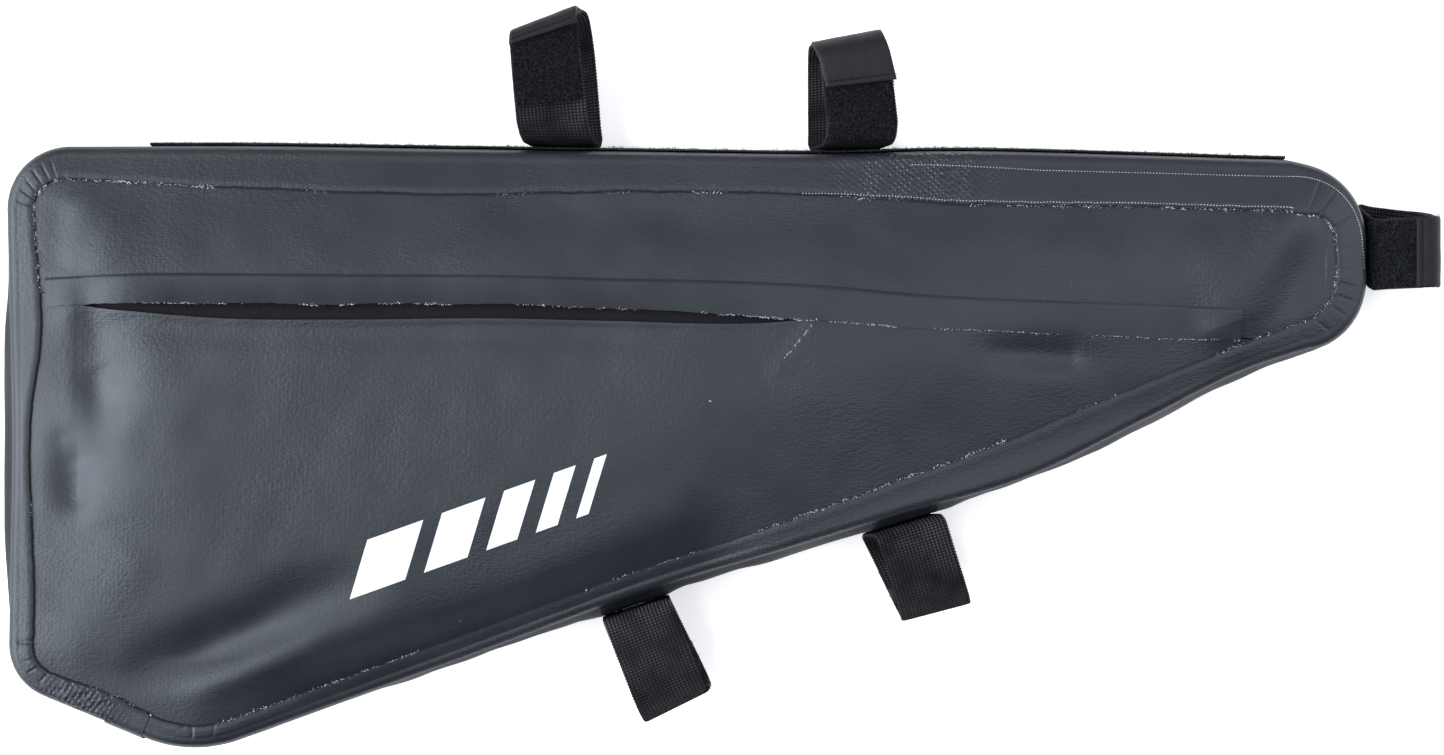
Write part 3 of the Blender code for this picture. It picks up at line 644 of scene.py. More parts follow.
def coated_cloth(name, roughness, emboss, specular=0.5, spots=()):
    """Welded tarpaulin: a soft sheen over a faint woven base, uneven and lightly scuffed."""
    material, tree, shader = new_material(name)
    vector = object_coordinates(tree)
    colour = mix_colours(tree, noise_ramp(tree, vector, 22, 0.35, 0.65), SLATE_DARK, SLATE_LIGHT)
    mottle = math_node(tree, "MULTIPLY", noise_ramp(tree, vector, 260, 0.35, 0.75), 0.35)
    colour = mix_colours(tree, mottle, colour, SLATE_LIGHT)
    dust = add_node(tree, "TexVoronoi", {"Vector": vector, "Scale": 46})
    speck = math_node(tree, "LESS_THAN", dust.outputs["Distance"], 0.0085)
    colour = mix_colours(tree, math_node(tree, "MULTIPLY", speck, 0.55), colour, DUST_COLOUR)
    gloss = noise_ramp(tree, vector, 34, 0.3, 0.7)
    limits = {"Value": gloss, "To Min": roughness - 0.05, "To Max": roughness + 0.07}
    patches = noise_ramp(tree, vector, 18, 0.30, 0.62)
    weave = pressed_dots(tree, vector, WEAVE_PITCH, 3, 1.7, 0.60)
    normal = add_bump(tree, math_node(tree, "MULTIPLY", weave, patches), 0.00035, emboss)
    if spots:
        dots = pressed_dots(tree, vector, STRONG_DOT_PITCH, 40, 1.0, 0.3)
        strong = math_node(tree, "MULTIPLY", dots, near_spots(tree, vector, spots))
        normal = add_bump(tree, strong, 0.0009, 1.0, normal)
    lumps = noise_ramp(tree, vector, 420, 0.2, 0.8)
    set_inputs(shader, {
        "Base Color": colour,
        "Roughness": add_node(tree, "MapRange", limits).outputs["Result"],
        "Specular IOR Level": specular,
        "Specular Tint": (0.86, 0.94, 1.0, 1),
        "Normal": add_bump(tree, lumps, 0.00010, 0.25, normal),
    })
    return material


def cut_edge():
    """Cut side of the cloth: dark coating with pale broken scrim where it has frayed. Its near-black is
    partly the coating's own colour and partly painted shade for the shadow line along the raw edge.
    """
    material, tree, shader = new_material("cut_edge")
    grain = noise_ramp(tree, object_coordinates(tree), 1500, 0.60, 0.68)
    fray = add_node(tree, "Attribute", {}, attribute_name="fray").outputs["Fac"]
    pale = math_node(tree, "MULTIPLY", grain, fray)
    # Near-black: the dark coating, darkened further as painted shade for the raw edge's shadow line
    colour = mix_colours(tree, pale, (0.004, 0.004, 0.005), (0.42, 0.45, 0.48))
    set_inputs(shader, {"Base Color": colour, "Roughness": 0.85})
    return material


def plain(name, colour, roughness, variation=0.3, scale=400, bump=0.0, specular=0.5):
    """Matt material with fine mottling, for threads, fuzz and tape."""
    material, tree, shader = new_material(name)
    tone = noise_ramp(tree, object_coordinates(tree), scale, 0.3, 0.7)
    darker, lighter = (
        tuple(value * (1 + sign * variation) for value in colour) for sign in (-1, 1)
    )
    mixed = mix_colours(tree, tone, darker, lighter)
    set_inputs(shader, {"Base Color": mixed, "Roughness": roughness, "Specular IOR Level": specular})
    if bump:
        set_inputs(shader, {"Normal": add_bump(tree, tone, bump, 0.6)})
    return material


def woven(name, colour, light, across, along, depth, roughness):
    """Webbing: ribs over and under columns of warp, coloured lighter on the rib tops as a painted sheen and
    darker in the gaps as painted shade. The map holds metres across and along.
    """
    material, tree, shader = new_material(name)
    uv = add_node(tree, "UVMap", {}, uv_map="weave").outputs["UV"]
    parts = add_node(tree, "SeparateXYZ", {0: uv}).outputs
    column, row = (
        math_node(tree, "SINE", math_node(tree, "MULTIPLY", part, math.pi / pitch))
        for part, pitch in ((parts[0], across), (parts[1], along))
    )
    height = math_node(tree, "ABSOLUTE", math_node(tree, "MULTIPLY", column, row))
    vector = object_coordinates(tree)
    sheen_patches = noise_ramp(tree, vector, 90, 0.3, 0.75)
    # Painted sheen: the rib tops are coloured lighter, in patches, while the gaps stay dark as painted shade
    fleck = math_node(tree, "MULTIPLY", math_node(tree, "POWER", height, 2.0), sheen_patches)
    normal = add_bump(tree, height, depth, 0.8)
    fibre = noise_ramp(tree, vector, 3200, 0.3, 0.7)
    set_inputs(shader, {
        "Base Color": mix_colours(tree, fleck, colour, light),
        "Normal": add_bump(tree, fibre, 0.00008, 0.5, normal),
        "Roughness": roughness,
        "Specular IOR Level": 0.15,
    })
    return material


# Where the border's pressed dots show most: column and row of the picture, reach in metres
PRESSED_SPOTS = [(72, 700, 0.016), (92, 710, 0.014), (885, 170, 0.026), (940, 176, 0.030)]

PANEL_CLOTH = coated_cloth("panel_cloth", 0.40, 0.50)
BORDER_CLOTH = coated_cloth("border_cloth", 0.38, 0.45, spots=PRESSED_SPOTS)
FLAP_CLOTH = coated_cloth("flap_cloth", 0.40, 0.20)
BACK_CLOTH = coated_cloth("back_cloth", 0.46, 0.50)
WALL_CLOTH = coated_cloth("wall_cloth", 0.58, 0.70, specular=0.12)
CUT_EDGE = cut_edge()
PALE_THREAD = plain("pale_thread", (0.52, 0.55, 0.58), 0.9)
STITCH_THREAD = plain("stitch_thread", (0.30, 0.32, 0.34), 0.7)
DARK_THREAD = plain("dark_thread", (0.008, 0.008, 0.010), 0.75, specular=0.2)
TAPE_CLOTH = plain("tape_cloth", (0.0050, 0.0045, 0.0070), 0.75, 0.4, 1400, 0.0001, 0.15)
WEBBING_DARK = (0.0018, 0.0018, 0.0022)
# The lighter webbing colour is a painted sheen on the rib tops
WEBBING_PAINTED_SHEEN = (0.078, 0.082, 0.095)
WEBBING_CLOTH = woven("webbing_cloth", WEBBING_DARK, WEBBING_PAINTED_SHEEN, 0.0013, RIB_PITCH, 0.0004, 0.62)
PILE_CLOTH = plain("pile_cloth", (0.0030, 0.0032, 0.0042), 0.95, 0.5, 900, 0.0004, 0.1)
# The pile loops are coloured lighter than the pile cloth as a painted highlight
PILE_LOOP_HIGHLIGHT = plain("pile_loop_highlight", (0.0190, 0.0215, 0.0290), 0.85, 0.75, 900, 0.0, 0.25)
TAB_CLOTH = plain("tab_cloth", (0.0040, 0.0043, 0.0054), 0.54, 0.35, 700, 0.00006, 0.24)
SILVER = plain("silver_print", (0.60, 0.62, 0.64), 0.42, 0.10, 90, 0.00005)


# The gusset, with the borders that it turns over on to the front and the back

# The raw edge is welded down over its last few millimetres, and its cut face slants
EDGE_PRESS = 0.0007
EDGE_PRESS_REACH = 0.0030
CUT_SLANT = 0.00065

# The share of the border, next to the rim, over which it eases into the rim's round
BORDER_EASE = 0.25

# Columns of the gusset's grid from the raw edge over the rim's round
BORDER_COLUMNS = 24

# How far the wall runs straight before it bends into its two rounds
WALL_FLATNESS = 3.2

# The rear end, in laps, where the wall hangs slack, and the laps over which that starts and ends
SLACK_LAPS = (4.05, 4.86)
SLACK_FADE = 0.25

# Where the wall is held fast: along the anchor strip, in laps, and next to a strap, in metres
HELD_LAPS = (0.09, 0.96)
HELD_LAP_FADE = 0.02
HELD_REACH = 0.008
SAG_LEVEL = 1.1

# Where pale scrim shows along the border's raw edge: first lap, last lap, how much of it
BORDER_FRAYS = [
    (0.02, 0.16, 1.0), (0.22, 0.24, 0.5), (0.36, 0.39, 0.7), (0.435, 0.47, 0.3), (0.50, 0.53, 0.8),
    (0.61, 0.66, 0.5), (0.70, 0.98, 0.75), (1.02, 1.55, 0.8), (1.60, 1.95, 0.7), (2.02, 2.12, 0.9),
    (2.20, 2.24, 0.3), (2.30, 2.52, 0.9), (2.56, 2.66, 0.5), (2.80, 3.02, 0.7), (3.25, 3.60, 0.5),
    (4.72, 5.02, 0.9), (4.30, 4.34, 0.4),
]
BORDER_FRAY_FADE = 0.006

# The same along the flap's free edge: first and last column of the picture, how much of it
FLAP_FRAYS = [
    (120, 165, 0.4), (165, 230, 0.9), (240, 262, 0.4), (285, 360, 0.6), (375, 455, 0.8),
    (510, 640, 0.45), (700, 820, 1.0), (825, 905, 0.75), (930, 1060, 0.45), (1090, 1250, 0.6),
]
FLAP_FRAY_FADE = 0.002


def strength_in(patches, values, fade):
    """How strongly each value lies in patches of (start, end, strength), 0 to 1."""
    total = np.zeros_like(np.asarray(values, float))
    for start, end, strength in patches:
        inside = np.minimum(values - start, end - values) / fade
        total = np.maximum(total, strength * np.clip(inside, 0, 1))
    return total


def border_fray(laps):
    """Pale scrim along the border's raw edge. A patch may run past the last lap."""
    patches = [(a - turn, b - turn, strength) for a, b, strength in BORDER_FRAYS for turn in (0, SIDES)]
    return strength_in(patches, laps, BORDER_FRAY_FADE)


def flap_fray(x):
    patches = [(from_image(a, 300)[0], from_image(b, 300)[0], strength) for a, b, strength in FLAP_FRAYS]
    return strength_in(patches, x, FLAP_FRAY_FADE)


# The raw edge has the small steps and nicks of a hand-cut one
EDGE_INSET = BORDER_INSET + lumps(on_line(ARC), BORDER_NICKS)
RIM_ROUND = RIM_INSET + SHOULDER_RADIUS
RIM_PLACES = OUTLINE - OUTWARDS * RIM_ROUND[:, None]
RIM_TOP = BAG_THICKNESS - ROLL * np.exp(-(edge_distance(RIM_PLACES) / ROLL_REACH) ** 2)
RIM_TOP = RIM_TOP + crease_height(RIM_PLACES, ROLLS)


def border_height(points):
    """Outer face of the turned-over border, from just inside the rim to its raw edge."""
    height = base_height(points) + crease_height(points, CREASES) * 0.4
    return height + crease_height(points, PUCKERS, fade=0.08) + LAYER_GAP + CLOTH


def turned_rows(places, outs, round_inset, raw_inset, slant, rim_top, shares):
    """The border as (inset, height): shares run from its raw edge, 1, to the rim's round, 0."""
    rows = []
    for share in shares:
        inset = round_inset + (raw_inset - slant - round_inset) * share
        height = border_height(places - outs * inset[:, None])
        ease = np.clip((BORDER_EASE - share) / BORDER_EASE, 0, 1) ** 2
        pressed = np.clip(1 - (raw_inset - inset) / EDGE_PRESS_REACH, 0, 1)
        rows.append((inset, height * (1 - ease) + rim_top * ease - EDGE_PRESS * pressed ** 2))
    return rows


def round_rows(round_inset, top, radius):
    """The rim's round as (inset, height), from its top to the wall."""
    angles = np.linspace(0, math.pi / 2, 8)
    return [(round_inset - radius * math.sin(a), top - radius + radius * math.cos(a)) for a in angles]


def wall_bulge(share):
    return 1 - np.abs(2 * share - 1) ** WALL_FLATNESS


def grid_along(places, outs, rows):
    """Grid of points beside places on the outline, from rows of (inset, height)."""
    return np.stack([
        np.column_stack([places - outs * inset[:, None], np.broadcast_to(height, len(places))])
        for inset, height in rows
    ], axis=1)


def held_fast():
    """1 where a strap or the anchor strip holds the wall, 0 where it's free to sag."""
    held = np.clip(np.minimum(LAPS - HELD_LAPS[0], HELD_LAPS[1] - LAPS) / HELD_LAP_FADE, 0, 1)
    for strap in STRAPS:
        away = np.abs(np.interp(strap.lap, LAPS, ARC) - ARC) - STRAP_WIDTH / 2
        held = np.maximum(held, np.clip(1 - away / HELD_REACH, 0, 1))
    return held


def wall_rows(top, bottom):
    """The wall as (inset, height), with its sag and its swell along the rear end."""
    free = 1 - held_fast()
    slack = np.clip(np.minimum(LAPS - SLACK_LAPS[0], SLACK_LAPS[1] - LAPS) / SLACK_FADE, 0, 1)
    slack = slack * slack * (3 - 2 * slack)
    rows = []
    for share in np.linspace(0, 1, 16)[1:-1]:
        bulge = wall_bulge(share)
        height = top + (bottom - top) * share
        ring = np.column_stack([OUTLINE, height])
        level = SAG_LEVEL * sum(depth for depth, _, _ in WALL_LUMPS)
        sag = (lumps(ring, WALL_LUMPS) - level) * bulge * free
        swell = slack * WALL_SWELL * math.sin(math.pi * share ** 0.6) ** 2
        rows.append((RIM_INSET * (1 - bulge) - CLOTH / 2 - np.minimum(sag, 0) - swell, height))
    return rows


def outer_rows():
    radius = SHOULDER_RADIUS + CLOTH / 2
    bottom = radius
    shares = 1 - np.linspace(0, 1, 20)[:-1] ** 1.3
    rows = turned_rows(OUTLINE, OUTWARDS, RIM_ROUND, EDGE_INSET, CUT_SLANT, RIM_TOP, shares)
    rows += round_rows(RIM_ROUND, RIM_TOP, radius)
    rows += wall_rows(RIM_TOP - radius, bottom)
    for angle in np.linspace(math.pi / 2, 0, 7):
        rows.append((RIM_ROUND - radius * math.sin(angle), bottom - radius * math.cos(angle)))
    for share in (0.35, 0.7, 1.0):
        rows.append((RIM_ROUND + (RIM_INSET + BACK_BORDER_WIDTH - RIM_ROUND) * share, 0.0))
    return rows


def inner_rows():
    """The gusset's inner face, which isn't seen, as (inset, height) in a few rows."""
    radius = SHOULDER_RADIUS + CLOTH / 2
    top = RIM_TOP - radius
    rows = []
    for share in (1.0, 0.8, 0.5, 0.25):
        inset = RIM_ROUND + (EDGE_INSET - RIM_ROUND) * share
        height = border_height(OUTLINE - OUTWARDS * inset[:, None])
        rows.append((inset, height - COAT - EDGE_PRESS * (share == 1)))
    wall = CLOTH
    rows += [
        (RIM_ROUND, RIM_TOP - COAT),
        (RIM_INSET + wall, top),
        (RIM_INSET * 0.3 + wall, (top * 2 + radius) / 3),
        (RIM_INSET * 0.3 + wall, (top + radius * 2) / 3),
        (RIM_INSET + wall, radius),
        (RIM_ROUND, COAT),
        (RIM_INSET + BACK_BORDER_WIDTH, COAT),
    ]
    return rows


def dress(piece, slot, *nodes):
    """The piece stands for the CAD nodes that are named, and these are hidden. The slot is not used."""
    if nodes:
        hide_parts(*nodes)
    return piece


def add_gusset():
    outer = grid_along(OUTLINE, OUTWARDS, outer_rows())
    inner = grid_along(OUTLINE, OUTWARDS, inner_rows())
    fray = border_fray(LAPS)[:, None]
    made = shell("gusset_cloth", outer, inner, [BORDER_CLOTH, CUT_EDGE, WALL_CLOTH], fray, ring=True)
    finish = np.zeros(len(made.data.polygons), np.int32)
    made.data.polygons.foreach_get("material_index", finish)
    column = np.arange(len(LAPS) * (outer.shape[1] - 1)) % (outer.shape[1] - 1)
    finish[:len(column)][column >= BORDER_COLUMNS] = 2
    made.data.polygons.foreach_set("material_index", finish)
    return dress(made, "coated_fabric", "gusset_wall", "front_border", "back_border")


def add_gusset_joint():
    """The gusset strip's end, welded over its start across the heel."""
    laps = np.linspace(*GUSSET_JOINT_LAPS, 40)
    raw = np.interp(laps, LAPS, EDGE_INSET) - 0.0003
    rim = np.interp(laps, LAPS, RIM_INSET)
    rim_top = np.interp(laps, LAPS, RIM_TOP)
    places = read_rows(laps, LAPS, OUTLINE)
    outs = unit(read_rows(laps, LAPS, OUTWARDS))
    round_inset = rim + SHOULDER_RADIUS
    radius = SHOULDER_RADIUS + CLOTH / 2 + JOINT_STAND
    border = turned_rows(places, outs, round_inset, raw, 0.0, rim_top, np.linspace(1, 0, 12)[:-1])
    rows = [(inset, height + JOINT_STAND) for inset, height in border]
    rows += round_rows(round_inset, rim_top + JOINT_STAND, radius)
    top = rim_top + JOINT_STAND - radius
    for share in np.linspace(0, 1, 12)[1:]:
        inset = rim * (1 - wall_bulge(share)) - CLOTH / 2 - JOINT_STAND
        rows.append((inset, top + (JOINT_BOTTOM - top) * share))
    under = [(inset + JOINT_COAT * 0.5, height - JOINT_COAT * 0.9) for inset, height in rows]
    outer, inner = (grid_along(places, outs, part) for part in (rows, under))
    made = shell("gusset_joint_cloth", outer, inner, [BORDER_CLOTH, CUT_EDGE], 0.6)
    return dress(made, "coated_fabric", "gusset_joint")


# Panels

PANEL_EDGE = OUTLINE - OUTWARDS * (RIM_INSET + CLOTH / 2 + PANEL_TUCK)[:, None]
PANEL_START = PANEL_EDGE[:, 0].min() + EDGE_GAP
PANEL_END = PANEL_EDGE[:, 0].max() - EDGE_GAP
PANEL_STATIONS = round(BAG_LENGTH / PANEL_STEP)
LOWER_PANEL_DEPTH = 0.145
BACK_SLACK = 0.0006

# The slot's lower edge where the flap stands off, a raised lip and a dip below it: how high,
# how far from the slot, how wide
SLOT_LIPS = [(0.0004, 0.0005, 0.0011), (-0.0005, 0.006, 0.005)]

# The flap's upper face above the panel: at its weld, and how much higher past the weld
FLAP_WELD = 0.0003
FLAP_STEP = 0.0005
FLAP_THICKNESS = 0.0006


def panel_spans(xs):
    """Lowest and highest y of the tucked panel edge at each x."""
    ends = np.roll(PANEL_EDGE, -1, axis=0)
    spans = []
    for x in xs:
        crossing = ((PANEL_EDGE[:, 0] - x) * (ends[:, 0] - x) <= 0) & (PANEL_EDGE[:, 0] != ends[:, 0])
        a = PANEL_EDGE[crossing]
        b = ends[crossing]
        y = a[:, 1] + (b[:, 1] - a[:, 1]) * (x - a[:, 0]) / (b[:, 0] - a[:, 0])
        spans.append((y.min(), y.max()))
    return np.array(spans).T


def stations(start, end, count, crowding=0.5):
    """Places from start to end, closer together at both ends."""
    share = np.linspace(0, 1, count)
    return start + (end - start) * (share - crowding * np.sin(2 * math.pi * share) / (2 * math.pi))


def cloth_points(xs, lows, highs, rows):
    share = np.linspace(0, 1, rows)[None, :]
    ys = lows[:, None] + (highs - lows)[:, None] * share
    return np.stack([np.broadcast_to(xs[:, None], ys.shape), ys], axis=-1)


def layer(node, grid, top, thickness, materials, fray=0.0, hidden_side=-1, slot="coated_fabric"):
    """Cloth for a node, its upper face at height top. The hidden side has few columns."""
    outer = np.concatenate([grid, top[..., None]], axis=2)
    kept = np.linspace(0, grid.shape[1] - 1, min(grid.shape[1], HIDDEN_COLUMNS)).round().astype(int)
    inner = outer - [0, 0, thickness]
    if hidden_side > 0:
        outer = outer[:, kept]
    else:
        inner = inner[:, kept]
    return dress(shell(node + "_cloth", outer, inner, materials, fray), slot, node)


def add_lower_panel():
    xs = stations(PANEL_START, LOWER_PANEL_END * BAG_LENGTH, PANEL_STATIONS)
    highs = -zip_line("below", xs)
    grid = cloth_points(xs, panel_spans(xs)[0], highs, round(LOWER_PANEL_DEPTH / PANEL_STEP))
    from_zip = highs[:, None] - grid[..., 1]
    opened = zip_line("lift", xs)[:, None] / BAG_DEPTH
    top = front_height(grid)
    for rise, away, width in SLOT_LIPS:
        top = top + rise * opened * np.exp(-((from_zip - away) / width) ** 2)
    return layer("lower_panel", grid, top, COAT, [PANEL_CLOTH, CUT_EDGE], 0.1)


def add_upper_panel():
    xs = stations(PANEL_START, PANEL_END, PANEL_STATIONS)
    lows, highs = panel_spans(xs)
    grid = cloth_points(xs, np.maximum(lows, -zip_line("above", xs)), highs, UPPER_PANEL_ROWS)
    return layer("upper_panel", grid, front_height(grid), COAT, [PANEL_CLOTH, CUT_EDGE])


def add_zip_tape():
    count, rows = TAPE_GRID
    xs = stations(PANEL_START, LOWER_PANEL_END * BAG_LENGTH, count)
    grid = cloth_points(xs, -zip_line("below", xs) - TAPE_TUCK, TAPE_TUCK - zip_line("above", xs), rows)
    top = front_height(grid) - CLOTH - LAYER_GAP
    return layer("zip_tape", grid, top, COAT, [TAPE_CLOTH], slot="zip_tape")


def flap_grid(xs, rows):
    low = lumps(on_line(xs), FLAP_NICKS) - zip_line("flap_low", xs)
    return cloth_points(xs, low, -zip_line("flap_top", xs), rows)


def flap_top_height(grid, xs):
    """Outer face of the flap: thin at its weld, standing off along its free edge."""
    free = 1 - np.linspace(0, 1, grid.shape[1])[None, :]
    lift = zip_line("lift", xs)[:, None] / BAG_DEPTH * FLAP_LIFT
    edge = FLAP_WELD + FLAP_STEP * np.clip(free * 12, 0, 1)
    return front_height(grid) + edge + lift * free ** 2


def add_zip_flap():
    count, rows = FLAP_GRID
    xs = stations(FLAP_START * BAG_LENGTH, FLAP_END * BAG_LENGTH, count)
    grid = flap_grid(xs, rows)
    top = flap_top_height(grid, xs)
    return layer("zip_flap", grid, top, FLAP_THICKNESS, [FLAP_CLOTH, CUT_EDGE], flap_fray(xs)[:, None])


def add_back_panel():
    """Flat panel lying on the turned-over back border, slightly uneven."""
    count, rows = BACK_GRID
    xs = stations(PANEL_START, PANEL_END, count)
    grid = cloth_points(xs, *panel_spans(xs), rows)
    away = np.clip((edge_distance(grid) - 0.012) / 0.03, 0, 1)
    top = CLOTH + LAYER_GAP + CLOTH + BACK_SLACK * away * (1 + 0.4 * waves(grid, 0.05, 41))
    return layer("back_panel", grid, top, CLOTH, [BACK_CLOTH, CUT_EDGE], hidden_side=1)


# Straps

def rounded_path(points, radii, steps):
    rows = [[(0.0, *points[0])]]
    for k in range(1, len(points) - 1):
        bend = fillet(points[k - 1], points[k], points[k + 1], radii[k], steps)
        rows.append(bend + [k, 0, 0])
    rows.append([(len(points) - 1.0, *points[-1])])
    return np.concatenate(rows)


def strap_seat(strap):
    seat = CLOTH / 2 + STRAP_SEAT_GAP
    if strap.lap < 1:
        seat += EDGE_GAP + WEBBING
    return seat


def strap_loop(strap, steps=18):
    """A strap's loop seen along the bag's edge: rows of (place, reach, height, drift, slant)."""
    reach = strap.reach * STRAP_WIDTH
    bend = strap.bend * STRAP_WIDTH
    seat = strap_seat(strap) + WEBBING / 2
    front = STRAP_FRONT_HEIGHT
    over = front + WEBBING / 2 + PILE + 2 * LAYER_GAP + TAB / 2
    points = [
        (reach - bend - LAYER_GAP, front),
        (seat, front),
        (seat, STRAP_BACK_HEIGHT),
        (reach, STRAP_BACK_HEIGHT),
        (reach, over),
        (reach - bend - strap.tab * STRAP_WIDTH, over),
    ]
    radii = [0, STRAP_NEAR_BEND, STRAP_NEAR_BEND, STRAP_FAR_BEND, bend, 0]
    plain_drift = [strap.plain, strap.plain, (strap.plain + strap.far) / 2, strap.far]
    path = rounded_path(np.array(points), radii, steps)
    share = np.clip((path[:, 1] - seat) / (reach - seat), 0, 1)
    closing = strap.near * (1 - share) + strap.far * share + 4 * strap.bow * share * (1 - share)
    plain_run = np.interp(path[:, 0], [1, 2, 3, 4], plain_drift)
    weight = np.interp(path[:, 0], [1, 2, PLAIN_RUN_END, 4], [0, 1, 1, 0])
    drift = (closing * (1 - weight) + plain_run * weight) * STRAP_WIDTH
    heights = path[:, 2]
    if strap.face < 0:
        heights = STRAP_FRONT_HEIGHT + STRAP_BACK_HEIGHT - heights
    return np.column_stack([path[:, 0], path[:, 1], heights, drift, np.radians(strap.turn * share)])


def cut_loop(loop, start, end):
    inside = [row for row in loop if start < row[0] < end]
    ends = read_rows([start, end], loop[:, 0], loop)
    return np.array([ends[0], *inside, ends[1]])


def ribbon_frame(strap, loop, step):
    """Evenly spaced middles along a loop, with the directions across and outward."""
    place = read_rows(strap.lap, LAPS, OUTLINE)
    out = np.array([*unit(read_rows(strap.lap, LAPS, OUTWARDS)), 0.0])
    side = np.array([*right_of(out[:2]), 0.0])
    middles = np.array([[*place, 0.0]]) + loop[:, 1:2] * out + loop[:, 3:4] * side
    middles[:, 2] = loop[:, 2]
    lengths = run_lengths(middles)
    at = np.linspace(0, lengths[-1], max(4, round(lengths[-1] / step) + 1))
    even = read_rows(at, lengths, middles)
    slant = np.interp(at, lengths, loop[:, 4])[:, None]
    across = side * np.cos(slant) + out * np.sin(slant)
    normals = unit(np.cross(unit(np.gradient(even, axis=0)), across) * strap.face)
    return at, even, across, normals


def ribbon(name, frame_rows, width, thickness, stand_off, across_count, material, relief, scallop=0.0):
    """Flat ribbon as a closed mesh. relief(u, v, side) is added to both faces, in metres."""
    at, middles, across, normals = frame_rows
    widths = width / 2 * np.ones_like(at) + scallop * np.sin(at * 2 * math.pi / RIB_PITCH)
    grids = []
    maps = []
    for side, count in ((1, across_count), (-1, round(across_count * 0.6))):
        share = np.linspace(-1, 1, count)
        share = np.sign(share) * (1 - (1 - np.abs(share)) ** 1.25)
        u = share[None, :] * widths[:, None]
        v = np.broadcast_to(at[:, None], u.shape)
        rounding = 1 - np.clip((np.abs(share) - 0.90) / 0.10, 0, 1) ** 2 * 0.55
        level = stand_off + side * (thickness / 2 * rounding[None, :] + relief(u, v, side))
        grids.append(middles[:, None] + across[:, None] * u[..., None] + normals[:, None] * level[..., None])
        maps.append(np.stack([u, v], axis=-1).reshape(-1, 2))
    return shell(name, *grids, [material], uv=np.concatenate(maps))


def rib_relief(depth):
    def relief(u, v, side):
        phase = 2 * math.pi * v / RIB_PITCH
        column = np.sin(2 * math.pi * u / RIB_COLUMN)
        return depth * (np.sin(phase) + 0.25 * column * np.sin(phase / 2))
    return relief


def rough_relief(depth, scale, seed):
    def relief(u, v, side):
        return depth * waves(np.stack([u, v], axis=-1), scale, seed + (side > 0))
    return relief


# The tab's stitched seam and the fold beyond it: how high, how far from its end, how wide
TAB_FOLDS = [(-0.00030, 0.0024, 0.00055), (0.00030, 0.0010, 0.0009)]
TAB_SEAM_BACK = 0.0021
TAB_SEAM_HALF = 0.0110
TAB_STITCH_PITCH = 0.0019


def tab_relief(length, seed):
    def relief(u, v, side):
        height = 0.00005 * waves(np.stack([u, v], axis=-1), 0.004, seed)
        for rise, back, width in TAB_FOLDS:
            height = height + rise * np.exp(-((length - v - back) / width) ** 2) * (side > 0)
        return height
    return relief


def fibre_radii(rng, count, taper, thickest=0.00009):
    return rng.uniform(0.00005, thickest, count)[:, None] * np.array([taper])


def add_fuzz(name, frame_rows, width, level, count, seed, material, height):
    """Short bent loops of pile standing on a ribbon's outer face."""
    rng = np.random.default_rng(seed)
    at, middles, across, normals = frame_rows
    place = rng.uniform(0, len(at) - 1.001, count)
    k = place.astype(int)
    part = (place - k)[:, None]
    aside = across[k]
    up = normals[k]
    u = rng.uniform(-1, 1, count) * width / 2
    base = middles[k] * (1 - part) + middles[k + 1] * part + aside * u[:, None] + up * level
    turn = rng.uniform(0, 2 * math.pi, count)
    lean = aside * np.cos(turn)[:, None] + np.cross(up, aside) * np.sin(turn)[:, None]
    tall = rng.uniform(0.35, 1.0, count)[:, None] * height
    paths = np.stack([
        base - up * 0.0002,
        base + up * tall + lean * tall * 0.55,
        base + up * tall * 0.45 + lean * tall * 1.35,
    ], axis=1)
    return tubes(name, paths, fibre_radii(rng, count, [1.0, 0.9, 0.6]), material)


def add_stitches(name, points, normals, length, radius, material):
    """Row of short stitches: points (n, 3) are their middles, the row runs along them."""
    along = unit(np.gradient(points, axis=0))
    paths = np.stack([
        points + along * length * share + normals * radius * lift
        for share, lift in ((-0.5, -0.6), (-0.3, 0.55), (0.3, 0.55), (0.5, -0.6))
    ], axis=1)
    radii = np.broadcast_to(np.array([0.5, 1.0, 1.0, 0.5]) * radius, (len(points), 4))
    return tubes(name, paths, radii, material, sides=5)


def row_on_ribbon(frame_rows, v, u, level):
    """Points on a ribbon's face at places along and across it, with the directions there."""
    at, *columns = frame_rows
    base, aside, up = (read_rows(v, at, column) for column in columns)
    return base + aside * np.asarray(u)[:, None] + up * level, aside, up


def add_whiskers(name, frame_rows, seed, count=110):
    """Dark fibres that stick out of a ribbon's cut end and of its two selvages."""
    rng = np.random.default_rng(seed)
    length = frame_rows[0][-1]
    at_end = rng.uniform(0, 1, count) < 0.6
    u = np.where(at_end, rng.uniform(-1, 1, count), np.sign(rng.normal(size=count))) * STRAP_WIDTH * 0.49
    v = np.where(at_end, length, rng.uniform(0, length, count))
    base, aside, up = row_on_ribbon(frame_rows, v, u, 0.0)
    base = base + up * rng.uniform(-0.5, 0.5, count)[:, None] * TAB
    middles = frame_rows[1]
    lead = np.where(at_end[:, None], unit(middles[-1] - middles[-2]), aside * np.sign(u)[:, None])
    lead = lead + rng.normal(0, 0.45, (count, 3))
    reach = rng.uniform(0.0003, 0.0013, count)[:, None]
    curl = rng.normal(0, 0.25, (count, 3))
    paths = np.stack([base - lead * 0.0003, base + lead * reach * 0.5, base + (lead + curl) * reach], axis=1)
    return tubes(name, paths, fibre_radii(rng, count, [1.0, 0.8, 0.5]), DARK_THREAD)


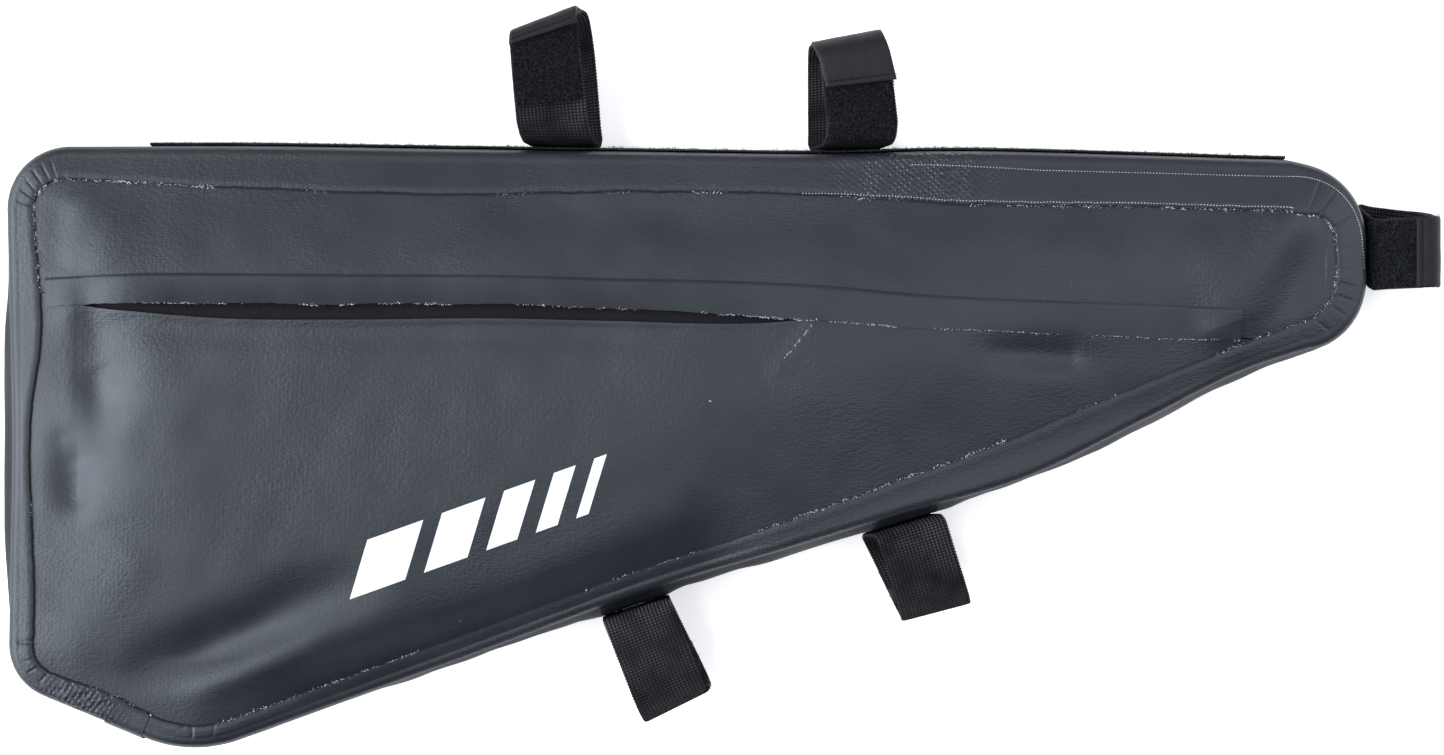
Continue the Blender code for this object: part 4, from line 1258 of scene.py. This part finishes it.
def add_strap(strap, seed):
    """A strap's ribbed webbing, the pile patch on it, and the smooth tab that closes over it."""
    name = strap.name
    loop = strap_loop(strap)
    body = ribbon_frame(strap, cut_loop(loop, 0, TAB_START), RIB_PITCH / RIB_SAMPLES)
    webbing = (STRAP_WIDTH, WEBBING * 0.8, 0.0, 24, WEBBING_CLOTH, rib_relief(0.00013), SCALLOP)
    patch = ribbon_frame(strap, cut_loop(loop, 0, strap.pile), PATCH_STEP)
    patch_width = STRAP_WIDTH - WEBBING
    over = WEBBING / 2 + LAYER_GAP / 2 + PILE / 2
    pile = (patch_width, PILE, over, 50, PILE_CLOTH, rough_relief(0.00012, 0.0012, seed))
    loops = FRONT_LOOPS if strap.face > 0 else BACK_LOOPS
    fuzz = (patch_width, over + PILE / 2, loops, seed, PILE_LOOP_HIGHLIGHT, 0.0009)
    joint = EDGE_GAP / (STRAP_FRONT_HEIGHT - STRAP_BACK_HEIGHT)
    end = ribbon_frame(strap, cut_loop(loop, TAB_START + joint, 5), TAB_STEP)
    length = end[0][-1]
    tab = (STRAP_WIDTH, TAB * 0.8, 0.0, 44, TAB_CLOTH, tab_relief(length, seed + 5))
    u = np.arange(-TAB_SEAM_HALF, TAB_SEAM_HALF + 0.0001, TAB_STITCH_PITCH)
    v = np.full(len(u), length - TAB_SEAM_BACK)
    middles, _, up = row_on_ribbon(end, v, u, TAB * 0.4 + 0.00006)
    stitches = (middles, up, 0.0014, 0.00018, DARK_THREAD)
    return [
        dress(ribbon(name + "_webbing_cloth", body, *webbing), "webbing", name + "_webbing"),
        dress(ribbon(name + "_pile_cloth", patch, *pile), "pile", name + "_pile"),
        dress(add_fuzz(name + "_pile_loops", patch, *fuzz), "pile"),
        dress(ribbon(name + "_tab_cloth", end, *tab), "smooth_end", name + "_tab"),
        dress(add_stitches(name + "_tab_stitches", *stitches), "smooth_end"),
        dress(add_whiskers(name + "_frayed_end", end, seed + 7), "smooth_end"),
    ]


def add_anchor_strip():
    laps = np.linspace(*ANCHOR_STRIP_LAPS, round(STRIP_RUN / STRIP_STEP))
    outs = unit(read_rows(laps, LAPS, OUTWARDS))
    flat = read_rows(laps, LAPS, OUTLINE) + outs * (CLOTH / 2 + EDGE_GAP + STRIP_THICKNESS / 2)
    middles = np.column_stack([flat, np.full(len(laps), BAG_THICKNESS / 2)])
    across = np.tile(np.array([0.0, 0.0, 1.0]), (len(laps), 1))
    rows = (run_lengths(middles), middles, across, np.column_stack([outs, np.zeros(len(laps))]))
    strip = (STRIP_THICKNESS, 0.0, 16, WEBBING_CLOTH, rib_relief(0.00016), SCALLOP)
    fuzz = (STRIP_THICKNESS / 2, STRIP_FIBRES, 77, DARK_THREAD, 0.0010)
    return [
        dress(ribbon("anchor_strip_cloth", rows, ANCHOR_STRIP_WIDTH, *strip), "webbing", "anchor_strip"),
        dress(add_fuzz("anchor_strip_fuzz", rows, ANCHOR_STRIP_WIDTH, *fuzz), "webbing"),
    ]


# Raw threads and seams

def thread_paths(rng, base, height, heading, inwards):
    count = len(base)
    length = rng.uniform(0.0002, 0.0008, count)[:, None]
    turn = rng.normal(0, 1.0, count)
    flat = heading * np.cos(turn)[:, None] + inwards * np.sin(turn)[:, None]
    flat = flat * rng.choice([-1, 1], count)[:, None]
    curl = inwards * rng.uniform(-0.2, 0.5, count)[:, None]
    start = np.column_stack([base, height])
    step = np.column_stack([flat, rng.uniform(-0.1, 0.35, count)]) * length
    bend = np.column_stack([curl, rng.uniform(-0.1, 0.2, count)]) * length
    paths = np.stack([start - step * 0.5, start + bend * 0.6, start + step * 0.5], axis=1)
    return paths, fibre_radii(rng, count, [0.8, 1.0, 0.6], 0.00011)


def edge_threads():
    """Pale broken scrim threads along the border's raw edge."""
    rng = np.random.default_rng(5)
    s = rng.uniform(0, ARC[-1], BORDER_THREADS)
    clumps = 0.5 + 0.5 * waves(on_line(s), 0.006, 8)
    shown = border_fray(np.interp(s, ARC, LAPS)) * np.clip(clumps * 1.2 - 0.1, 0, 1)
    s = s[rng.uniform(0, 1, len(s)) < shown]
    inset = np.interp(s, ARC, EDGE_INSET) + rng.normal(-0.0001, 0.00028, len(s))
    out = read_rows(s, ARC, OUTWARDS)
    base = read_rows(s, ARC, OUTLINE) - out * inset[:, None]
    height = border_height(base) - rng.uniform(-0.0001, 0.0006, len(s))
    return thread_paths(rng, base, height, np.stack([out[:, 1], -out[:, 0]], axis=1), -out)


def flap_threads():
    """The same along the flap's free edge."""
    rng = np.random.default_rng(6)
    x = rng.uniform(FLAP_START * BAG_LENGTH, FLAP_END * BAG_LENGTH, FLAP_THREADS)
    clumps = 0.5 + 0.5 * waves(on_line(x), 0.005, 9)
    x = np.sort(x[rng.uniform(0, 1, len(x)) < flap_fray(x) * np.clip(clumps * 1.5, 0, 1)])
    grid = flap_grid(x, 3)
    base = grid[:, 0] + np.column_stack([np.zeros(len(x)), rng.normal(0.0, 0.00016, len(x))])
    height = flap_top_height(grid, x)[:, 0] - rng.uniform(0, 0.0005, len(x))
    heading, inwards = (np.tile(row, (len(x), 1)) for row in ([1.0, 0.0], [0.0, -1.0]))
    return thread_paths(rng, base, height, heading, inwards)


# A scuff, from one point of the picture to another, and a fleck, with their threads
SCUFF = ((812, 325), (785, 358))
SCUFF_THREADS = 34
FLECK = (710, 401)
FLECK_THREADS = 5


def scratch_threads():
    """A short scuff under the flap, and a stray fleck on the lower panel."""
    rng = np.random.default_rng(7)
    share = rng.uniform(0, 1, SCUFF_THREADS)
    start, end = (from_image(*point) for point in SCUFF)
    base = start + (end - start) * share[:, None] + rng.normal(0, 0.00012, (SCUFF_THREADS, 2))
    fleck = from_image(*FLECK) + rng.normal(0, 0.00018, (FLECK_THREADS, 2))
    base = np.concatenate([base, fleck])
    along = unit(end - start)
    heading, inwards = (np.tile(row, (len(base), 1)) for row in (along, right_of(along)))
    return thread_paths(rng, base, front_height(base) + 0.00003, heading, inwards)


def add_threads():
    paths, radii = zip(edge_threads(), flap_threads(), scratch_threads())
    made = tubes("frayed_threads", np.concatenate(paths), np.concatenate(radii), PALE_THREAD)
    return dress(made, "coated_fabric")


# Stitched rows of the border: insets at laps, measured from the rim (0) or the raw edge (1)
SEAMS = [
    ([0.665, 0.76, 0.95, 1.2, 1.62], [0.0048, 0.0066, 0.0062, 0.0042, 0.0018], 0),
    ([0.585, 0.65, 0.975], [-0.0006, -0.0016, -0.0016], 1),
]
STITCH_PITCH = 0.00112


def add_seam(number, laps, insets, from_edge):
    first, last = np.interp([laps[0], laps[-1]], LAPS, ARC)
    s = np.arange(first, last, STITCH_PITCH)
    lap = np.interp(s, ARC, LAPS)
    inset = np.interp(lap, laps, insets) + from_edge * np.interp(lap, LAPS, EDGE_INSET)
    inset = np.maximum(inset, np.interp(lap, LAPS, RIM_INSET) + 0.0006)
    flat = read_rows(s, ARC, OUTLINE) - read_rows(s, ARC, OUTWARDS) * inset[:, None]
    past = np.maximum(np.interp(lap, LAPS, RIM_ROUND) - inset, 0)
    drop = SHOULDER_RADIUS - np.sqrt(np.maximum(SHOULDER_RADIUS ** 2 - past ** 2, 0))
    height = np.where(past > 0, np.interp(lap, LAPS, RIM_TOP) - drop, border_height(flat))
    normals = np.tile([0.0, 0.0, 1.0], (len(s), 1))
    points = np.column_stack([flat, height])
    made = add_stitches("border_stitches_%d" % number, points, normals, 0.00050, 0.00019, STITCH_THREAD)
    return dress(made, "coated_fabric")


# Each bar's left and right edge, as shares of the row's length
BARS = [(0.02, 0.20), (0.26, 0.40), (0.46, 0.56), (0.62, 0.69), (0.75, 0.79)]
BAR_ROWS = 14
BAR_COLUMNS = 8


def add_mark():
    """Plain slanted bars printed in silver on the lower panel."""
    start, right, low = from_image([330, 640, 345], [548, 437, 606])
    v = np.linspace(0, 1, BAR_ROWS)[:, None, None]
    flat = []
    for edges in BARS:
        u = np.linspace(*edges, BAR_COLUMNS)[None, :, None] + 0.10 * (1 - v)
        flat.append(start + (right - start) * u + (low - start) * (0.08 + 0.84 * v))
    flat = np.reshape(flat, (-1, 2))
    faces = [grid_faces(BAR_ROWS, BAR_COLUMNS, k * BAR_ROWS * BAR_COLUMNS)[:, ::-1] for k in range(len(BARS))]
    points = np.column_stack([flat, front_height(flat) + 0.00006])
    return dress(make_object("silver_bars", place_world(points), faces, [SILVER]), "coated_fabric")


pieces = [
    add_gusset(),
    add_gusset_joint(),
    add_lower_panel(),
    add_upper_panel(),
    add_zip_tape(),
    add_zip_flap(),
    add_back_panel(),
]
for number, strap_row in enumerate(STRAPS):
    pieces += add_strap(strap_row, 100 + 10 * number)
pieces += add_anchor_strip()
pieces.append(add_threads())
for number, seam_row in enumerate(SEAMS):
    pieces.append(add_seam(number + 1, *seam_row))
pieces.append(add_mark())
for piece in pieces:
    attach(piece, "root")


# Floor, light and camera

FLOOR_REACH = 4.0
FLOOR_DROP = 0.0003
SKY_DARK = 0.03


def add_floor():
    corners = [[-1, -1], [1, -1], [1, 1], [-1, 1]]
    points = np.array([[x * FLOOR_REACH, y * FLOOR_REACH, -FLOOR_DROP] for x, y in corners])
    material, tree, shader = new_material("floor")
    tone = noise_ramp(tree, object_coordinates(tree), 3, 0.3, 0.7)
    set_inputs(shader, {
        "Base Color": mix_colours(tree, tone, (0.86, 0.86, 0.86), (0.88, 0.88, 0.88)),
        "Roughness": 0.9,
        "Specular IOR Level": 0.1,
        "Emission Color": (1, 1, 1, 1),
        "Emission Strength": 0.45,
    })
    make_object("floor", points, [np.array([[0, 1, 2, 3]])], [material])


def add_world():
    """Studio sky: a broad soft light on the left, weaker ones on the right, dark overhead."""
    world = bpy.data.worlds.new("studio")
    world.use_nodes = True
    tree = world.node_tree
    direction = add_node(tree, "TexCoord", {}).outputs["Generated"]
    total = SKY_DARK
    for axis, amount, fall_off in SKY:
        near = add_node(tree, "VectorMath", {0: direction, 1: axis}, operation="DOT_PRODUCT")
        away = math_node(tree, "SUBTRACT", near.outputs["Value"], 1.0)
        fall = math_node(tree, "EXPONENT", math_node(tree, "MULTIPLY", away, fall_off))
        total = math_node(tree, "ADD", math_node(tree, "MULTIPLY", fall, amount), total)
    scaled = add_node(tree, "VectorMath", {0: SKY_TINT, "Scale": total}, operation="SCALE")
    set_inputs(tree.nodes["Background"], {"Color": scaled.outputs["Vector"]})
    bpy.context.scene.world = world


def add_camera():
    data = bpy.data.cameras.new("camera")
    data.lens = CAMERA_LENS
    data.sensor_width = SENSOR
    data.clip_start = 0.05
    data.clip_end = 20
    camera = bpy.data.objects.new("camera", data)
    camera.location = CAMERA_PLACE
    bpy.context.scene.collection.objects.link(camera)
    bpy.context.scene.camera = camera


add_floor()
add_world()
add_camera()
bpy.context.scene.view_settings.view_transform = "Standard"
